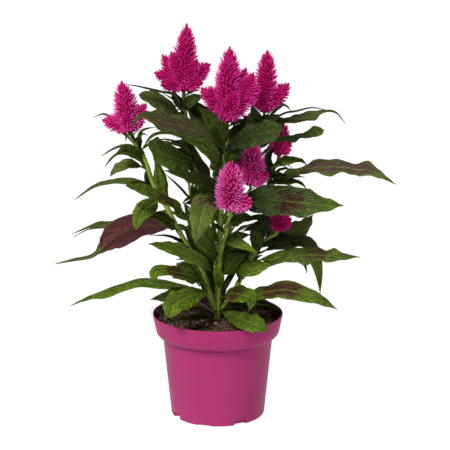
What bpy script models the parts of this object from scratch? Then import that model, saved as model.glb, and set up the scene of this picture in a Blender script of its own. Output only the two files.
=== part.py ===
"""A plumed celosia in its grow pot: pot, soil, stems, feathered flower heads and leaves.

Metres, +Z up. The origin is on the pot's axis at the face it stands on, and the front is -Y.
"""
import math
from typing import NamedTuple

import bmesh
import bpy
from mathutils import Vector

MM = 0.001
GAP = 0.3 * MM
MERGE = 0.02 * MM

# The plant is laid out as it is seen from the front. A place is written (x, z, y) in
# millimetres: x and z are read on the upright plane through the pot's axis, and y is how far
# the real point lies from that plane, along the line of sight, with minus towards the front.
EYE = Vector((6.7, -1450.0, 535.0))

# Pot
POT_HEIGHT = 96.0
RIM_RADIUS = 60.0
BAND_FOOT_RADIUS = 57.0
BAND_FOOT_Z = 80.0
NECK_RADIUS = 50.5
NECK_Z = 74.0
FOOT_RADIUS = 43.3
FOOT_ROUND = 1.0
WALL = 1.3
LIP_ROUND = 0.5
# How the rim band's foot turns in to the neck, as (share of the way in, drop)
BAND_TURN = ((0.2, 2.6), (0.6, 4.6))
TURN_STEPS = 36
RECESS_WIDTH = 12.0
RECESS_HEIGHT = 5.0
RECESS_DEPTH = 4.6
RECESS_ANGLES = (-61.0, 29.0, 119.0, 209.0)
# The recess walls end inside the pot's own wall
RECESS_SINK = 0.9

# Soil
SOIL_CROWN_Z = 90.0
SOIL_EDGE_Z = 87.6
SOIL_DOME = ((0.4, 0.8), (0.8, 0.3))
SOIL_FOOT_ROOM = 1.0
SOIL_FOOT_RISE = 2.0
SOCKET_BOTTOM_Z = 80.0
SOCKET_ROOM = 0.4
SOCKET_SIDES = 16

# Stems, leaves and flower heads
STEM_STEP = 9.0
HEAD_NECK = 4.0
LEAF_STEP = 4.0
LEAF_THICKNESS = 0.6
LEAF_STANDOFF = 0.55
STALK_SHARE = 0.09
STALK_HALF_WIDTH = 0.9
TIP_HALF_WIDTH = 0.25
BLADE_FOLD = 0.16
BLADE_WIDEST = 0.72
BLADE_TAPER = 1.05
LEAF_ROWS = 10
SPIKE_SIDES = 8
SPIKE_OUTLINE = ((0.0, 0.34), (0.07, 0.78), (0.22, 1.0), (0.45, 0.93), (0.68, 0.68),
                 (0.86, 0.36), (1.0, 0.0))

POT_COLOUR = (0.44, 0.05, 0.17)
SOIL_COLOUR = (0.018, 0.012, 0.008)
STEM_COLOUR = (0.12, 0.19, 0.04)
LEAF_COLOUR = (0.045, 0.10, 0.018)
FLOWER_COLOUR = (0.48, 0.012, 0.16)


class Stem(NamedTuple):
    """A stem: what carries it, how high it leaves, its radii and the places it passes."""

    name: str
    carrier: str
    height: float
    foot_radius: float
    tip_radius: float
    path: tuple


class Head(NamedTuple):
    """A flower head: its stem, and its spikes as (foot, tip, radius), the main one first."""

    name: str
    stem: str
    spikes: tuple


class Leaf(NamedTuple):
    """A leaf: its stem, how high it leaves, width, tilt of its face to the front, and path."""

    name: str
    stem: str
    height: float
    width: float
    tilt: float
    path: tuple


STEMS = (
    Stem("main_stem", "", 0, 2.8, 2,
         ((0, 80.5, 0), (0, 90, 0), (1, 130, 0), (2, 160, 0), (3, 190, 1), (5, 225, 2),
          (8, 250, 1))),
    Stem("left_stem", "main_stem", 103, 2.5, 1.9,
         ((-9, 118, -6), (-13, 133, -9), (-25, 155, -12), (-40, 182, -14), (-50, 205, -15),
          (-58, 217, -16), (-66, 240, -17))),
    Stem("right_stem", "main_stem", 98, 2.2, 1.6,
         ((11, 110, 3), (19, 124, 6), (30, 145, 9), (38, 158, 10), (46, 167, 10))),
    Stem("upper_left_stem", "main_stem", 150, 1.9, 1.7,
         ((-6, 167, 6), (-13, 200, 10), (-21, 240, 13), (-28, 275, 14))),
    Stem("upper_right_stem", "main_stem", 175, 1.7, 1.3,
         ((10, 195, 10), (20, 225, 15), (32, 255, 18))),
    Stem("middle_stem", "main_stem", 168, 1.5, 1.3,
         ((9, 181, -4), (19, 198, -5))),
    Stem("front_stem", "main_stem", 146, 1.7, 1.4,
         ((5, 160, -12), (9, 177, -23))),
    Stem("rear_right_stem", "right_stem", 148, 1.6, 1.3,
         ((39, 173, 19), (44, 205, 25), (50, 228, 28))),
    Stem("back_stem", "main_stem", 120, 1.9, 1.3,
         ((4, 138, 20), (12, 180, 36), (20, 225, 45))),
    Stem("back_left_stem", "main_stem", 112, 1.9, 1,
         ((-8, 130, 22), (-18, 165, 40), (-24, 200, 50), (-27, 228, 54))),
)

HEADS = (
    Head("flower_head_left", "left_stem", (
        ((-78, 265, -17), (-86, 313, -17), 10.8), ((-79, 271, -17), (-105, 276, -14), 8.6),
        ((-77, 271, -17), (-63, 292, -13), 7.8), ((-79, 270, -18), (-83, 283, -31), 7.2),
        ((-79, 271, -15), (-73, 286, -2), 7.2), ((-76, 272, -16), (-66, 272, -14), 6.8))),
    Head("flower_head_top", "upper_left_stem", (
        ((-30, 302, 12), (-27, 364, 12), 11), ((-32, 308, 12), (-50, 336, 14), 8.2),
        ((-30, 308, 10), (-42, 339, 4), 7.8), ((-30, 310, 12), (-58, 319, 12), 8.4),
        ((-28, 308, 11), (-18, 332, 3), 7.6), ((-28, 309, 12), (-5, 327.5, 14), 8.8),
        ((-29, 307, 14), (-33, 333, 25), 7.4), ((-32, 309, 10), (-52, 307, 6), 8.2),
        ((-26, 310, 8), (-12, 309, 2), 7.4))),
    Head("flower_head_middle_tall", "main_stem", (
        ((8.5, 274, 0), (11, 344, 0), 12.2), ((7, 286, 0), (-16, 306, 1), 9.8),
        ((13, 284, 2), (26, 325, 6), 7.6), ((12, 283, 0), (39, 310, -2), 9.8),
        ((9, 280, -2), (16, 303, -15), 8.4), ((8, 281, 2), (3, 308, 13), 8.4),
        ((21, 294, 0), (33, 320, -3), 8.2))),
    Head("flower_head_right", "upper_right_stem", (
        ((42, 283, 17), (44.5, 341, 15), 10.3), ((45, 289, 17), (65, 310, 15), 8.8),
        ((42, 289, 18), (39, 312, 29), 7.4), ((43, 290, 15), (31, 300, 11), 8.4))),
    Head("flower_head_middle_low", "middle_stem", (
        ((30, 216, -2), (32, 258, -2), 11.8), ((31, 221, -3), (47, 227, -10), 8.8),
        ((28, 222, -2), (18, 241, -5), 8.6))),
    Head("flower_head_front", "front_stem", (
        ((11.5, 193, -28), (12.5, 240, -33), 12.6), ((14, 199, -30), (33, 200, -37), 8.6))),
    Head("flower_head_right_behind", "rear_right_stem", (
        ((55, 244, 28), (57, 279, 27), 9.6), ((56, 248, 28), (67, 256, 24), 7.6))),
    Head("flower_head_low_right", "right_stem", (
        ((54, 174, 9), (57, 206, 7), 10.4), ((56, 179, 8), (68, 185, 3), 7.2))),
    Head("flower_head_back", "back_stem", (
        ((26, 248, 46), (29, 284, 48), 9.6), ((27, 254, 46), (14, 266, 52), 7),
        ((27, 254, 47), (38, 267, 55), 7), ((26, 253, 47), (25, 270, 60), 7))),
)

LEAVES = (
    Leaf("leaf_left_folded", "left_stem", 240, 17, 42,
         ((-76, 245, -28), (-87, 246, -38), (-95, 241.5, -44), (-102, 233, -48))),
    Leaf("leaf_left_light", "left_stem", 229, 12, 40,
         ((-78, 236, -24), (-87, 233.5, -27), (-93, 229.5, -28), (-97.5, 224, -29))),
    Leaf("leaf_left_long", "left_stem", 211, 15, 12,
         ((-64, 217, -10), (-80, 219.8, -6), (-98, 218.6, 4), (-112, 214.6, 11),
          (-130, 203, 16))),
    Leaf("leaf_left_blunt", "main_stem", 176, 18, 35,
         ((-28, 186, -26), (-42, 199, -38), (-56, 207, -50), (-70, 212.3, -58), (-83, 216, -62))),
    Leaf("leaf_left_hanging", "left_stem", 203, 18, 62,
         ((-61, 198, -34), (-68, 191.5, -48), (-72.5, 184, -56), (-74.5, 173.5, -60))),
    Leaf("leaf_left_maroon", "left_stem", 180, 30, -70,
         ((-52, 179.5, -16), (-70, 179, -24), (-86, 173, -30), (-97, 166, -34), (-106, 157, -37),
          (-116, 149.3, -41), (-131, 146.3, -46), (-149, 142.4, -52))),
    Leaf("leaf_left_behind", "left_stem", 186, 13, 22,
         ((-70, 181, 12), (-95, 180.5, 26), (-112, 178.5, 33), (-133, 171, 40))),
    Leaf("leaf_left_middle", "main_stem", 134, 20, 44,
         ((-12, 143, -20), (-27, 151, -38), (-44, 157, -54), (-63, 161.5, -70))),
    Leaf("leaf_left_curled", "left_stem", 123, 17, 48,
         ((-26, 131, -20), (-39, 134.5, -28), (-50, 136.2, -34), (-58.5, 134, -38),
          (-57, 125, -40))),
    Leaf("leaf_low_left_long", "left_stem", 111, 18, 16,
         ((-28, 118.2, 8), (-50, 122.2, 18), (-70, 123.8, 24), (-82, 121.5, 27), (-92, 117.5, 30),
          (-104, 113, 33), (-118, 109.8, 35), (-136, 102.6, 38))),
    Leaf("leaf_low_left_front", "left_stem", 115, 23, 48,
         ((-14, 116, -23), (-27, 111, -42), (-40, 103, -56), (-46, 91, -66))),
    Leaf("leaf_centre_front", "main_stem", 196, 24, 70,
         ((-8, 201, -24), (-13, 194, -40), (-16, 182, -52), (-21, 161, -60))),
    Leaf("leaf_top_left_dark", "upper_left_stem", 272, 20, 38,
         ((-38, 283, 10), (-50, 291.5, 6), (-60, 296, 3), (-70, 298.5, 1))),
    Leaf("leaf_top_left_brown", "main_stem", 249, 25, 45,
         ((-8, 261, -12), (-28, 268.5, -24), (-46, 273.4, -36), (-60, 278, -44), (-69, 280, -48),
          (-77, 269, -52))),
    Leaf("leaf_upper_left_arched", "main_stem", 229, 22, 50,
         ((-6, 246, -22), (-24, 259, -44), (-44, 265, -58), (-58, 262, -68), (-68, 249.5, -74))),
    Leaf("leaf_upper_left_broad", "upper_left_stem", 228, 31, 48,
         ((-26, 235.5, -6), (-36, 239.5, -16), (-48, 244.5, -27), (-63, 253.2, -40))),
    Leaf("leaf_middle_left", "main_stem", 205, 18, 42,
         ((-8, 216, -12), (-20, 221.5, -24), (-34, 226, -36), (-48, 230, -44))),
    Leaf("leaf_top_right_thin", "upper_right_stem", 266, 15, 18,
         ((50, 274, 20), (64, 275.5, 22), (76, 277, 26), (88, 281.5, 30), (98, 284, 33),
          (107, 282.3, 35), (115, 273, 38))),
    Leaf("leaf_top_right_blunt", "upper_right_stem", 244, 16, 25,
         ((45, 256, 6), (60, 258, -2), (74, 260.5, -10), (84, 263.5, -15), (95, 265, -20))),
    Leaf("leaf_upper_right_broad", "main_stem", 241, 27, 52,
         ((14, 254, -16), (28, 261, -32), (44, 264, -44), (58.5, 268, -54))),
    Leaf("leaf_right_longest", "rear_right_stem", 213, 21.5, 28,
         ((60, 224, 10), (76, 229.6, 0), (92, 232.5, -10), (110, 232.5, -20), (127, 230.2, -28),
          (143, 227.4, -38), (161, 217, -50))),
    Leaf("leaf_right_big", "main_stem", 195, 31.5, 54,
         ((16, 202, -6), (33, 202.5, -22), (52, 202, -34), (74, 199.8, -45), (96, 197.5, -54),
          (114, 197.2, -62))),
    Leaf("leaf_right_grey", "right_stem", 162, 23, 48,
         ((54, 168, 26), (67, 172, 34), (78, 177.5, 40), (86.5, 188.5, 44))),
    Leaf("leaf_right_arching", "right_stem", 151, 15, 34,
         ((48, 157, 6), (62, 161, 4), (74, 164, 4), (82, 162, 4), (88, 152, 4), (92.5, 136, 4),
          (94.5, 113, 4))),
    Leaf("leaf_right_wavy", "right_stem", 137, 21, 34,
         ((47, 142, -8), (62, 147.5, -16), (80, 150.5, -24), (96, 150, -34), (110, 149, -41),
          (130, 149, -50))),
    Leaf("leaf_low_right_long", "right_stem", 109, 20.5, 42,
         ((25, 110.5, -4), (42, 114.8, -14), (62, 117.5, -28), (80, 112.8, -38), (95, 107, -47),
          (110, 99, -54))),
    Leaf("leaf_low_right_curled", "main_stem", 108, 20, 52,
         ((12, 114, -18), (22, 112.5, -36), (31, 108.5, -50), (29, 97, -58))),
    Leaf("leaf_over_rim", "main_stem", 95, 21, 45,
         ((12, 94, -24), (26, 87.5, -52), (38, 82.5, -66), (46, 78.5, -72))),
    Leaf("leaf_back_low", "back_left_stem", 122, 18, -20,
         ((-13, 127, 34), (-15, 127, 60), (-17, 121, 88))),
    Leaf("leaf_back_left_low", "back_left_stem", 138, 20, -30,
         ((-20, 142, 48), (-30, 141, 70), (-38, 133, 92))),
    Leaf("leaf_back_left_middle", "back_left_stem", 168, 19, -30,
         ((-26, 174, 62), (-29, 178, 84), (-26, 172, 108))),
    Leaf("leaf_back_left_outer", "back_left_stem", 186, 18, -25,
         ((-40, 190, 58), (-60, 187, 68), (-84, 180, 78))),
    Leaf("leaf_back_left_inner", "back_left_stem", 203, 18, -30,
         ((-16, 214, 68), (-8, 220, 86), (-2, 214, 106))),
    Leaf("leaf_back_left_top", "back_left_stem", 218, 16, -35,
         ((-36, 231, 68), (-42, 241, 78), (-46, 244, 92))),
    Leaf("leaf_back_right_low", "back_stem", 148, 20, -30,
         ((16, 152, 48), (24, 152, 72), (32, 140, 96))),
    Leaf("leaf_back_right_middle", "back_stem", 172, 18, -25,
         ((28, 178, 48), (44, 178, 62), (62, 172, 76))),
    Leaf("leaf_back_right_outer", "back_stem", 194, 22, -25,
         ((32, 204, 50), (52, 207, 62), (78, 202, 76))),
    Leaf("leaf_back_inner", "back_stem", 206, 18, -30,
         ((6, 218, 66), (0, 224, 84), (-4, 230, 100))),
    Leaf("leaf_back_right_top", "back_stem", 230, 16, -30,
         ((36, 240, 58), (46, 250, 70), (52, 262, 80))),
)


def clear_scene():
    """Remove every object that the start-up file holds."""
    for obj in list(bpy.data.objects):
        bpy.data.objects.remove(obj, do_unlink=True)


def new_collection(name):
    """Return a new collection in the scene."""
    collection = bpy.data.collections.new(name)
    bpy.context.scene.collection.children.link(collection)
    return collection


def new_material(name, colour, roughness):
    """Return a Principled material of one colour."""
    material = bpy.data.materials.new(name)
    material.use_nodes = True
    shader = material.node_tree.nodes["Principled BSDF"]
    shader.inputs["Base Color"].default_value = (*colour, 1.0)
    shader.inputs["Roughness"].default_value = roughness
    shader.inputs["Metallic"].default_value = 0.0
    return material


def new_object(name, data, collection, material=None):
    """Return a new object with the data, in the collection."""
    obj = bpy.data.objects.new(name, data)
    collection.objects.link(obj)
    if material:
        data.materials.append(material)
    return obj


def hide_guide(obj):
    """Mark an object as a cutter or guide."""
    obj.hide_render = True
    obj.display_type = "WIRE"


def place(x, z, y):
    """Return the real point, in metres, of a place read on the front plane."""
    reach = (y - EYE.y) / -EYE.y
    return Vector((EYE.x + (x - EYE.x) * reach, y, EYE.z + (z - EYE.z) * reach)) * MM


def reading_height(point):
    """Return the z that a real point has when it is read on the front plane."""
    reach = (point.y / MM - EYE.y) / -EYE.y
    return EYE.z + (point.z / MM - EYE.z) / reach


def smooth_path(points, step):
    """Return points about a step apart along a smooth curve through the given points."""
    ends = [points[0] * 2 - points[1], *points, points[-1] * 2 - points[-2]]
    path = []
    for before, start, end, after in zip(ends, ends[1:], ends[2:], ends[3:]):
        count = max(1, round((end - start).length / step))
        for index in range(count):
            t = index / count
            path.append(0.5 * (2 * start + (end - before) * t
                               + (2 * before - 5 * start + 4 * end - after) * t ** 2
                               + (3 * start - before - 3 * end + after) * t ** 3))
    path.append(points[-1])
    return path


def along(path, share):
    """Return the point and direction at a share of a path's length."""
    lengths = [(b - a).length for a, b in zip(path, path[1:])]
    left = share * sum(lengths)
    for index, length in enumerate(lengths):
        if left <= length or index == len(lengths) - 1:
            step = path[index + 1] - path[index]
            return path[index] + step * min(1.0, left / length), step.normalized()
        left -= length


class Carrier:
    """A stem's finished path and radii, for what grows on it."""

    def __init__(self, path, foot_radius, tip_radius):
        self.path = path
        self.foot_radius = foot_radius
        self.tip_radius = tip_radius

    def radius(self, share):
        """Return the radius, in metres, at a share of the length."""
        return (self.foot_radius + (self.tip_radius - self.foot_radius) * share) * MM

    def leave(self, height, towards, standoff, thickness=0.0):
        """Return where a shoot starts beside the stem at a height read on the front plane."""
        heights = [reading_height(point) for point in self.path]
        index = min(range(1, len(self.path) - 1), key=lambda i: abs(heights[i] - height))
        point = self.path[index]
        direction = (self.path[index + 1] - self.path[index - 1]).normalized()
        out = towards - point
        across = (out - out.dot(direction) * direction).normalized()
        slant = abs(out.normalized().dot(direction))
        radius = self.radius(index / (len(self.path) - 1))
        return point + across * (radius + standoff + thickness * slant)


def turned(name, outline, steps, collection, material=None):
    """Return an object turned round Z from an outline of (radius, z) in millimetres."""
    mesh = bpy.data.meshes.new(name)
    verts = [(r * MM, 0.0, z * MM) for r, z in outline]
    mesh.from_pydata(verts, [(i, i + 1) for i in range(len(verts) - 1)], [])
    obj = new_object(name, mesh, collection, material)
    screw = obj.modifiers.new("Turn", "SCREW")
    screw.steps = steps
    screw.render_steps = steps
    screw.use_merge_vertices = True
    screw.merge_threshold = MERGE
    screw.use_smooth_shade = True
    return obj


def block(name, size, centre, angle, collection):
    """Return a box guide: size and centre in millimetres, turned round the pot's axis."""
    bm = bmesh.new()
    bmesh.ops.create_cube(bm, size=1.0)
    bmesh.ops.scale(bm, vec=Vector(size) * MM, verts=bm.verts)
    bmesh.ops.translate(bm, vec=Vector(centre) * MM, verts=bm.verts)
    mesh = bpy.data.meshes.new(name)
    bm.to_mesh(mesh)
    bm.free()
    obj = new_object(name, mesh, collection)
    obj.rotation_euler.z = math.radians(angle)
    hide_guide(obj)
    return obj


def combine(obj, other, operation):
    """Join another object to this one, or cut it away."""
    boolean = obj.modifiers.new(other.name, "BOOLEAN")
    boolean.operation = operation
    boolean.solver = "EXACT"
    boolean.object = other


def band_turn():
    """Return the rim band's foot, where it turns in to the neck, from the top down."""
    way_in = BAND_FOOT_RADIUS - NECK_RADIUS
    turn = [(BAND_FOOT_RADIUS - share * way_in, BAND_FOOT_Z - drop) for share, drop in BAND_TURN]
    return [(BAND_FOOT_RADIUS, BAND_FOOT_Z), *turn]


def wall_outline():
    """Return the pot wall's outside, from the lip down to the foot, as (radius, z)."""
    return [
        (RIM_RADIUS - LIP_ROUND, POT_HEIGHT),
        (RIM_RADIUS, POT_HEIGHT - LIP_ROUND),
        *band_turn(),
        (NECK_RADIUS, NECK_Z),
        (FOOT_RADIUS, FOOT_ROUND),
        (FOOT_RADIUS - FOOT_ROUND, 0.0),
    ]


def inner_outline(inset):
    """Return the pot's inside, from the floor's edge up to the lip, drawn in by an inset."""
    back = WALL + inset
    return [
        (FOOT_RADIUS - back, back),
        (NECK_RADIUS - back, NECK_Z + inset),
        *[(radius - back, z + back) for radius, z in reversed(band_turn())],
        (RIM_RADIUS - back, POT_HEIGHT - LIP_ROUND),
    ]


def make_pot(parts, guides, material):
    """Make the pot, turned, with a drain recess at four places round its foot."""
    lip = (RIM_RADIUS - WALL + LIP_ROUND, POT_HEIGHT)
    outline = [(0.0, WALL), *inner_outline(0.0), lip, *wall_outline(), (0.0, 0.0)]
    pot = turned("pot", outline, TURN_STEPS, parts, material)
    pocket_end = FOOT_RADIUS - RECESS_SINK
    pocket_start = FOOT_RADIUS - RECESS_DEPTH - WALL
    for angle in RECESS_ANGLES:
        size = (pocket_end - pocket_start, RECESS_WIDTH + 2 * WALL, RECESS_HEIGHT + WALL)
        centre = ((pocket_end + pocket_start) / 2, 0.0, size[2] / 2)
        pocket = block(f"recess_wall_{angle:.0f}", size, centre, angle, guides)
        combine(pot, pocket, "UNION")
    for angle in RECESS_ANGLES:
        size = (2 * RECESS_DEPTH, RECESS_WIDTH, 2 * RECESS_HEIGHT)
        centre = (FOOT_RADIUS, 0.0, 0.0)
        cutter = block(f"recess_{angle:.0f}", size, centre, angle, guides)
        combine(pot, cutter, "DIFFERENCE")


def make_soil(parts, guides, material):
    """Make the soil, which fills the pot and holds the main stem's foot in a socket."""
    edge = inner_outline(GAP / MM)
    low, high = edge[-2], edge[-1]
    share = (SOIL_EDGE_Z - low[1]) / (high[1] - low[1])
    edge_radius = low[0] + (high[0] - low[0]) * share
    dome = SOIL_CROWN_Z - SOIL_EDGE_Z
    foot_z = RECESS_HEIGHT + WALL + SOIL_FOOT_ROOM
    foot_radius = FOOT_RADIUS - RECESS_DEPTH - WALL - SOIL_FOOT_ROOM
    shoulder_z = foot_z + SOIL_FOOT_RISE
    floor_radius, floor_z = edge[0]
    flare = (edge[1][0] - floor_radius) * (shoulder_z - floor_z) / (edge[1][1] - floor_z)
    outline = [
        (0.0, SOIL_CROWN_Z),
        *[(out * edge_radius, SOIL_EDGE_Z + up * dome) for out, up in SOIL_DOME],
        (edge_radius, SOIL_EDGE_Z),
        *reversed(edge[1:-1]),
        (floor_radius + flare, shoulder_z),
        (foot_radius, foot_z),
        (foot_radius - SOIL_FOOT_RISE, floor_z),
        (0.0, floor_z),
    ]
    soil = turned("soil", outline, TURN_STEPS, parts, material)
    bm = bmesh.new()
    radius = (STEMS[0].foot_radius + SOCKET_ROOM) * MM
    depth = 2 * (SOIL_CROWN_Z - SOCKET_BOTTOM_Z) * MM
    bmesh.ops.create_cone(bm, cap_ends=True, segments=SOCKET_SIDES, radius1=radius,
                          radius2=radius, depth=depth)
    bmesh.ops.translate(bm, vec=(0, 0, SOCKET_BOTTOM_Z * MM + depth / 2), verts=bm.verts)
    mesh = bpy.data.meshes.new("socket")
    bm.to_mesh(mesh)
    bm.free()
    socket = new_object("socket", mesh, guides)
    hide_guide(socket)
    combine(soil, socket, "DIFFERENCE")


def make_stem(stem, carriers, head, parts, material):
    """Make one stem as a tapered tube, from its carrier to its flower head."""
    points = [place(*spot) for spot in stem.path]
    if stem.carrier:
        carrier = carriers[stem.carrier]
        foot = carrier.leave(stem.height, points[0], GAP, stem.foot_radius * MM)
        points.insert(0, foot)
    if head:
        base, tip = place(*head.spikes[0][0]), place(*head.spikes[0][1])
        axis = (tip - base).normalized()
        points.append(base - axis * HEAD_NECK * MM)
        points.append(base - axis * GAP)
    path = smooth_path(points, STEM_STEP * MM)
    curve = bpy.data.curves.new(stem.name, "CURVE")
    curve.dimensions = "3D"
    curve.bevel_depth = MM
    curve.bevel_resolution = 2
    curve.use_fill_caps = True
    curve.resolution_u = 1
    curve.render_resolution_u = 0
    spline = curve.splines.new("POLY")
    spline.points.add(len(path) - 1)
    for index, point in enumerate(path):
        share = index / (len(path) - 1)
        spline.points[index].co = (*point, 1.0)
        spline.points[index].radius = (stem.foot_radius
                                       + (stem.tip_radius - stem.foot_radius) * share)
    spline.use_smooth = True
    new_object(stem.name, curve, parts, material)
    carriers[stem.name] = Carrier(path, stem.foot_radius, stem.tip_radius)


def make_spike(name, spike, collection, material):
    """Return one pointed spike, turned about its own axis."""
    foot, tip = place(*spike[0]), place(*spike[1])
    length = (tip - foot).length / MM
    outline = [(spike[2] * wide, length * share) for share, wide in SPIKE_OUTLINE]
    outline = [(0.0, 0.0), *outline]
    obj = turned(name, outline[::-1], SPIKE_SIDES, collection, material)
    obj.location = foot
    obj.rotation_euler = (tip - foot).to_track_quat("Z", "Y").to_euler()
    return obj


def make_head(head, parts, guides, material):
    """Make a flower head: a main spike with its side spikes grown onto it."""
    main = make_spike(head.name, head.spikes[0], parts, material)
    for index, spike in enumerate(head.spikes[1:], 1):
        side = make_spike(f"{head.name}_side_{index}", spike, guides, None)
        hide_guide(side)
        combine(main, side, "UNION")


def blade_half_width(share, width):
    """Return a leaf's half width, in millimetres, at a share of its length."""
    if share <= STALK_SHARE:
        return STALK_HALF_WIDTH
    reach = (share - STALK_SHARE) / (1.0 - STALK_SHARE)
    swell = max(0.0, math.sin(math.pi * reach ** BLADE_WIDEST)) ** BLADE_TAPER
    narrow = STALK_HALF_WIDTH + (TIP_HALF_WIDTH - STALK_HALF_WIDTH) * reach
    return max(narrow, width / 2 * swell)


def make_leaf(leaf, carriers, parts, material):
    """Make one leaf: a grid bent along its path, wide in the middle, with a wall."""
    points = [place(*spot) for spot in leaf.path]
    foot = carriers[leaf.stem].leave(leaf.height, points[0], LEAF_STANDOFF * MM,
                                     LEAF_THICKNESS / 2 * MM)
    path = smooth_path([foot, *points], LEAF_STEP * MM)
    tilt = math.radians(leaf.tilt)
    facing = Vector((0.0, -math.sin(tilt), math.cos(tilt)))
    bm = bmesh.new()
    bmesh.ops.create_grid(bm, x_segments=2, y_segments=LEAF_ROWS, size=1.0)
    for vert in bm.verts:
        side, share = vert.co.x, (vert.co.y + 1.0) / 2.0
        middle, direction = along(path, share)
        normal = (facing - facing.dot(direction) * direction).normalized()
        across = direction.cross(normal)
        half = blade_half_width(share, leaf.width) * MM
        vert.co = middle + across * side * half + normal * abs(side) * half * BLADE_FOLD
    bmesh.ops.recalc_face_normals(bm, faces=bm.faces)
    mesh = bpy.data.meshes.new(leaf.name)
    bm.to_mesh(mesh)
    bm.free()
    mesh.shade_smooth()
    obj = new_object(leaf.name, mesh, parts, material)
    wall = obj.modifiers.new("Blade", "SOLIDIFY")
    wall.thickness = LEAF_THICKNESS * MM
    wall.offset = 0.0


def main():
    """Make the whole plant in its pot."""
    clear_scene()
    parts = new_collection("potted_plumed_celosia")
    guides = new_collection("guides")
    pot_material = new_material("pot", POT_COLOUR, 0.4)
    soil_material = new_material("soil", SOIL_COLOUR, 0.95)
    stem_material = new_material("stem", STEM_COLOUR, 0.5)
    leaf_material = new_material("leaf", LEAF_COLOUR, 0.5)
    flower_material = new_material("flower", FLOWER_COLOUR, 0.7)
    make_pot(parts, guides, pot_material)
    make_soil(parts, guides, soil_material)
    carriers = {}
    heads = {head.stem: head for head in HEADS}
    for stem in STEMS:
        make_stem(stem, carriers, heads.get(stem.name), parts, stem_material)
    for head in HEADS:
        make_head(head, parts, guides, flower_material)
    for leaf in LEAVES:
        make_leaf(leaf, carriers, parts, leaf_material)


main()
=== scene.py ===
"""The looks of a potted plumed celosia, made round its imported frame.

Metres, +Z up, the front is -Y. Sizes are written in millimetres and made metres by MM. Every CAD
solid is replaced by a finer piece that lies where the solid does: a moulded pot, peat soil, ribbed
stems, veined leaves and flower heads of small florets.
"""
import logging
import math
import random
from dataclasses import dataclass, field
from enum import Enum

import bmesh
import bpy
import numpy as np
from mathutils import Matrix, Vector, noise


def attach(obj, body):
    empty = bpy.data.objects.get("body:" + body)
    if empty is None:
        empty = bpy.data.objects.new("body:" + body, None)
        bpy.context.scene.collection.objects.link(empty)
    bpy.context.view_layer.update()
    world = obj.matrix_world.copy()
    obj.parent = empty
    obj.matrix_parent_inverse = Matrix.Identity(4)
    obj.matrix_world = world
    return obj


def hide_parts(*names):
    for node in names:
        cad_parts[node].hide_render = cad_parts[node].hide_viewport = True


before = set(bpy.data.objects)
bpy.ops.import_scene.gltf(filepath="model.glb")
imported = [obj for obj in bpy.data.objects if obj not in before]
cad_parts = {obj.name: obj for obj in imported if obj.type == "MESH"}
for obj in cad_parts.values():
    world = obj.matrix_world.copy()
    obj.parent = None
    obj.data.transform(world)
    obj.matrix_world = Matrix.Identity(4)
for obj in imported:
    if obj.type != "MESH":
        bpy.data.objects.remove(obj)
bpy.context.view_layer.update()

LOG = logging.getLogger("celosia")
MM = 0.001
BODY = "root"
GOLDEN_ANGLE = math.pi * (3.0 - math.sqrt(5.0))
BAKE_MAP = "OFBake"

# The stretch, as a share of a route, over which its direction is taken
EASE_REACH = 0.02

# How the side veins run, both in a leaf's shape and in its colours
VEIN_PAIRS = 9.0
VEIN_LEAN = 2.5
VEIN_CURVE = 0.85

# The plant is laid out as the photograph shows it. A place is written (x, z, y): x and z are read
# on the upright plane through the pot's axis, and y is how far the real point lies from it.
EYE = Vector((6.7, -1450.0, 535.0))

Spot = tuple[float, float, float]
Colour = tuple[float, float, float]
Pairs = tuple[tuple[float, float], ...]


def distance(y: float) -> float:
    """Return how far the camera is from a depth, as a share of its way to the front plane."""
    return (y - EYE.y) / -EYE.y


def place(x: float, z: float, y: float) -> Vector:
    """Return the real point, in metres, of a place read on the front plane."""
    reach = distance(y)
    return Vector((EYE.x + (x - EYE.x) * reach, y, EYE.z + (z - EYE.z) * reach)) * MM


def reading_height(point: Vector) -> float:
    """Return the z that a real point has when it is read on the front plane."""
    return EYE.z + (point.z / MM - EYE.z) / distance(point.y / MM)


def smooth_path(points: list[Vector], step: float) -> list[Vector]:
    """Return points along a smooth curve through the given ones.

    Args:
        points: The points that the curve passes.
        step: About how far apart the new points lie, in metres.

    Returns:
        The points of the curve, first and last included.
    """
    ends = [points[0] * 2 - points[1], *points, points[-1] * 2 - points[-2]]
    path = []
    for before, start, end, after in zip(ends, ends[1:], ends[2:], ends[3:]):
        count = max(1, round((end - start).length / step))
        for index in range(count):
            t = index / count
            path.append(0.5 * (2 * start + (end - before) * t
                               + (2 * before - 5 * start + 4 * end - after) * t ** 2
                               + (3 * start - before - 3 * end + after) * t ** 3))
    path.append(points[-1])
    return path


def between(table: Pairs, at: float) -> float:
    """Return a table's value at a place between its rows, eased from row to row."""
    for (start, low), (end, high) in zip(table, table[1:]):
        if at <= end:
            share = max(0.0, (at - start) / (end - start))
            return low + (high - low) * share * share * (3.0 - 2.0 * share)
    return table[-1][1]


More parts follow.
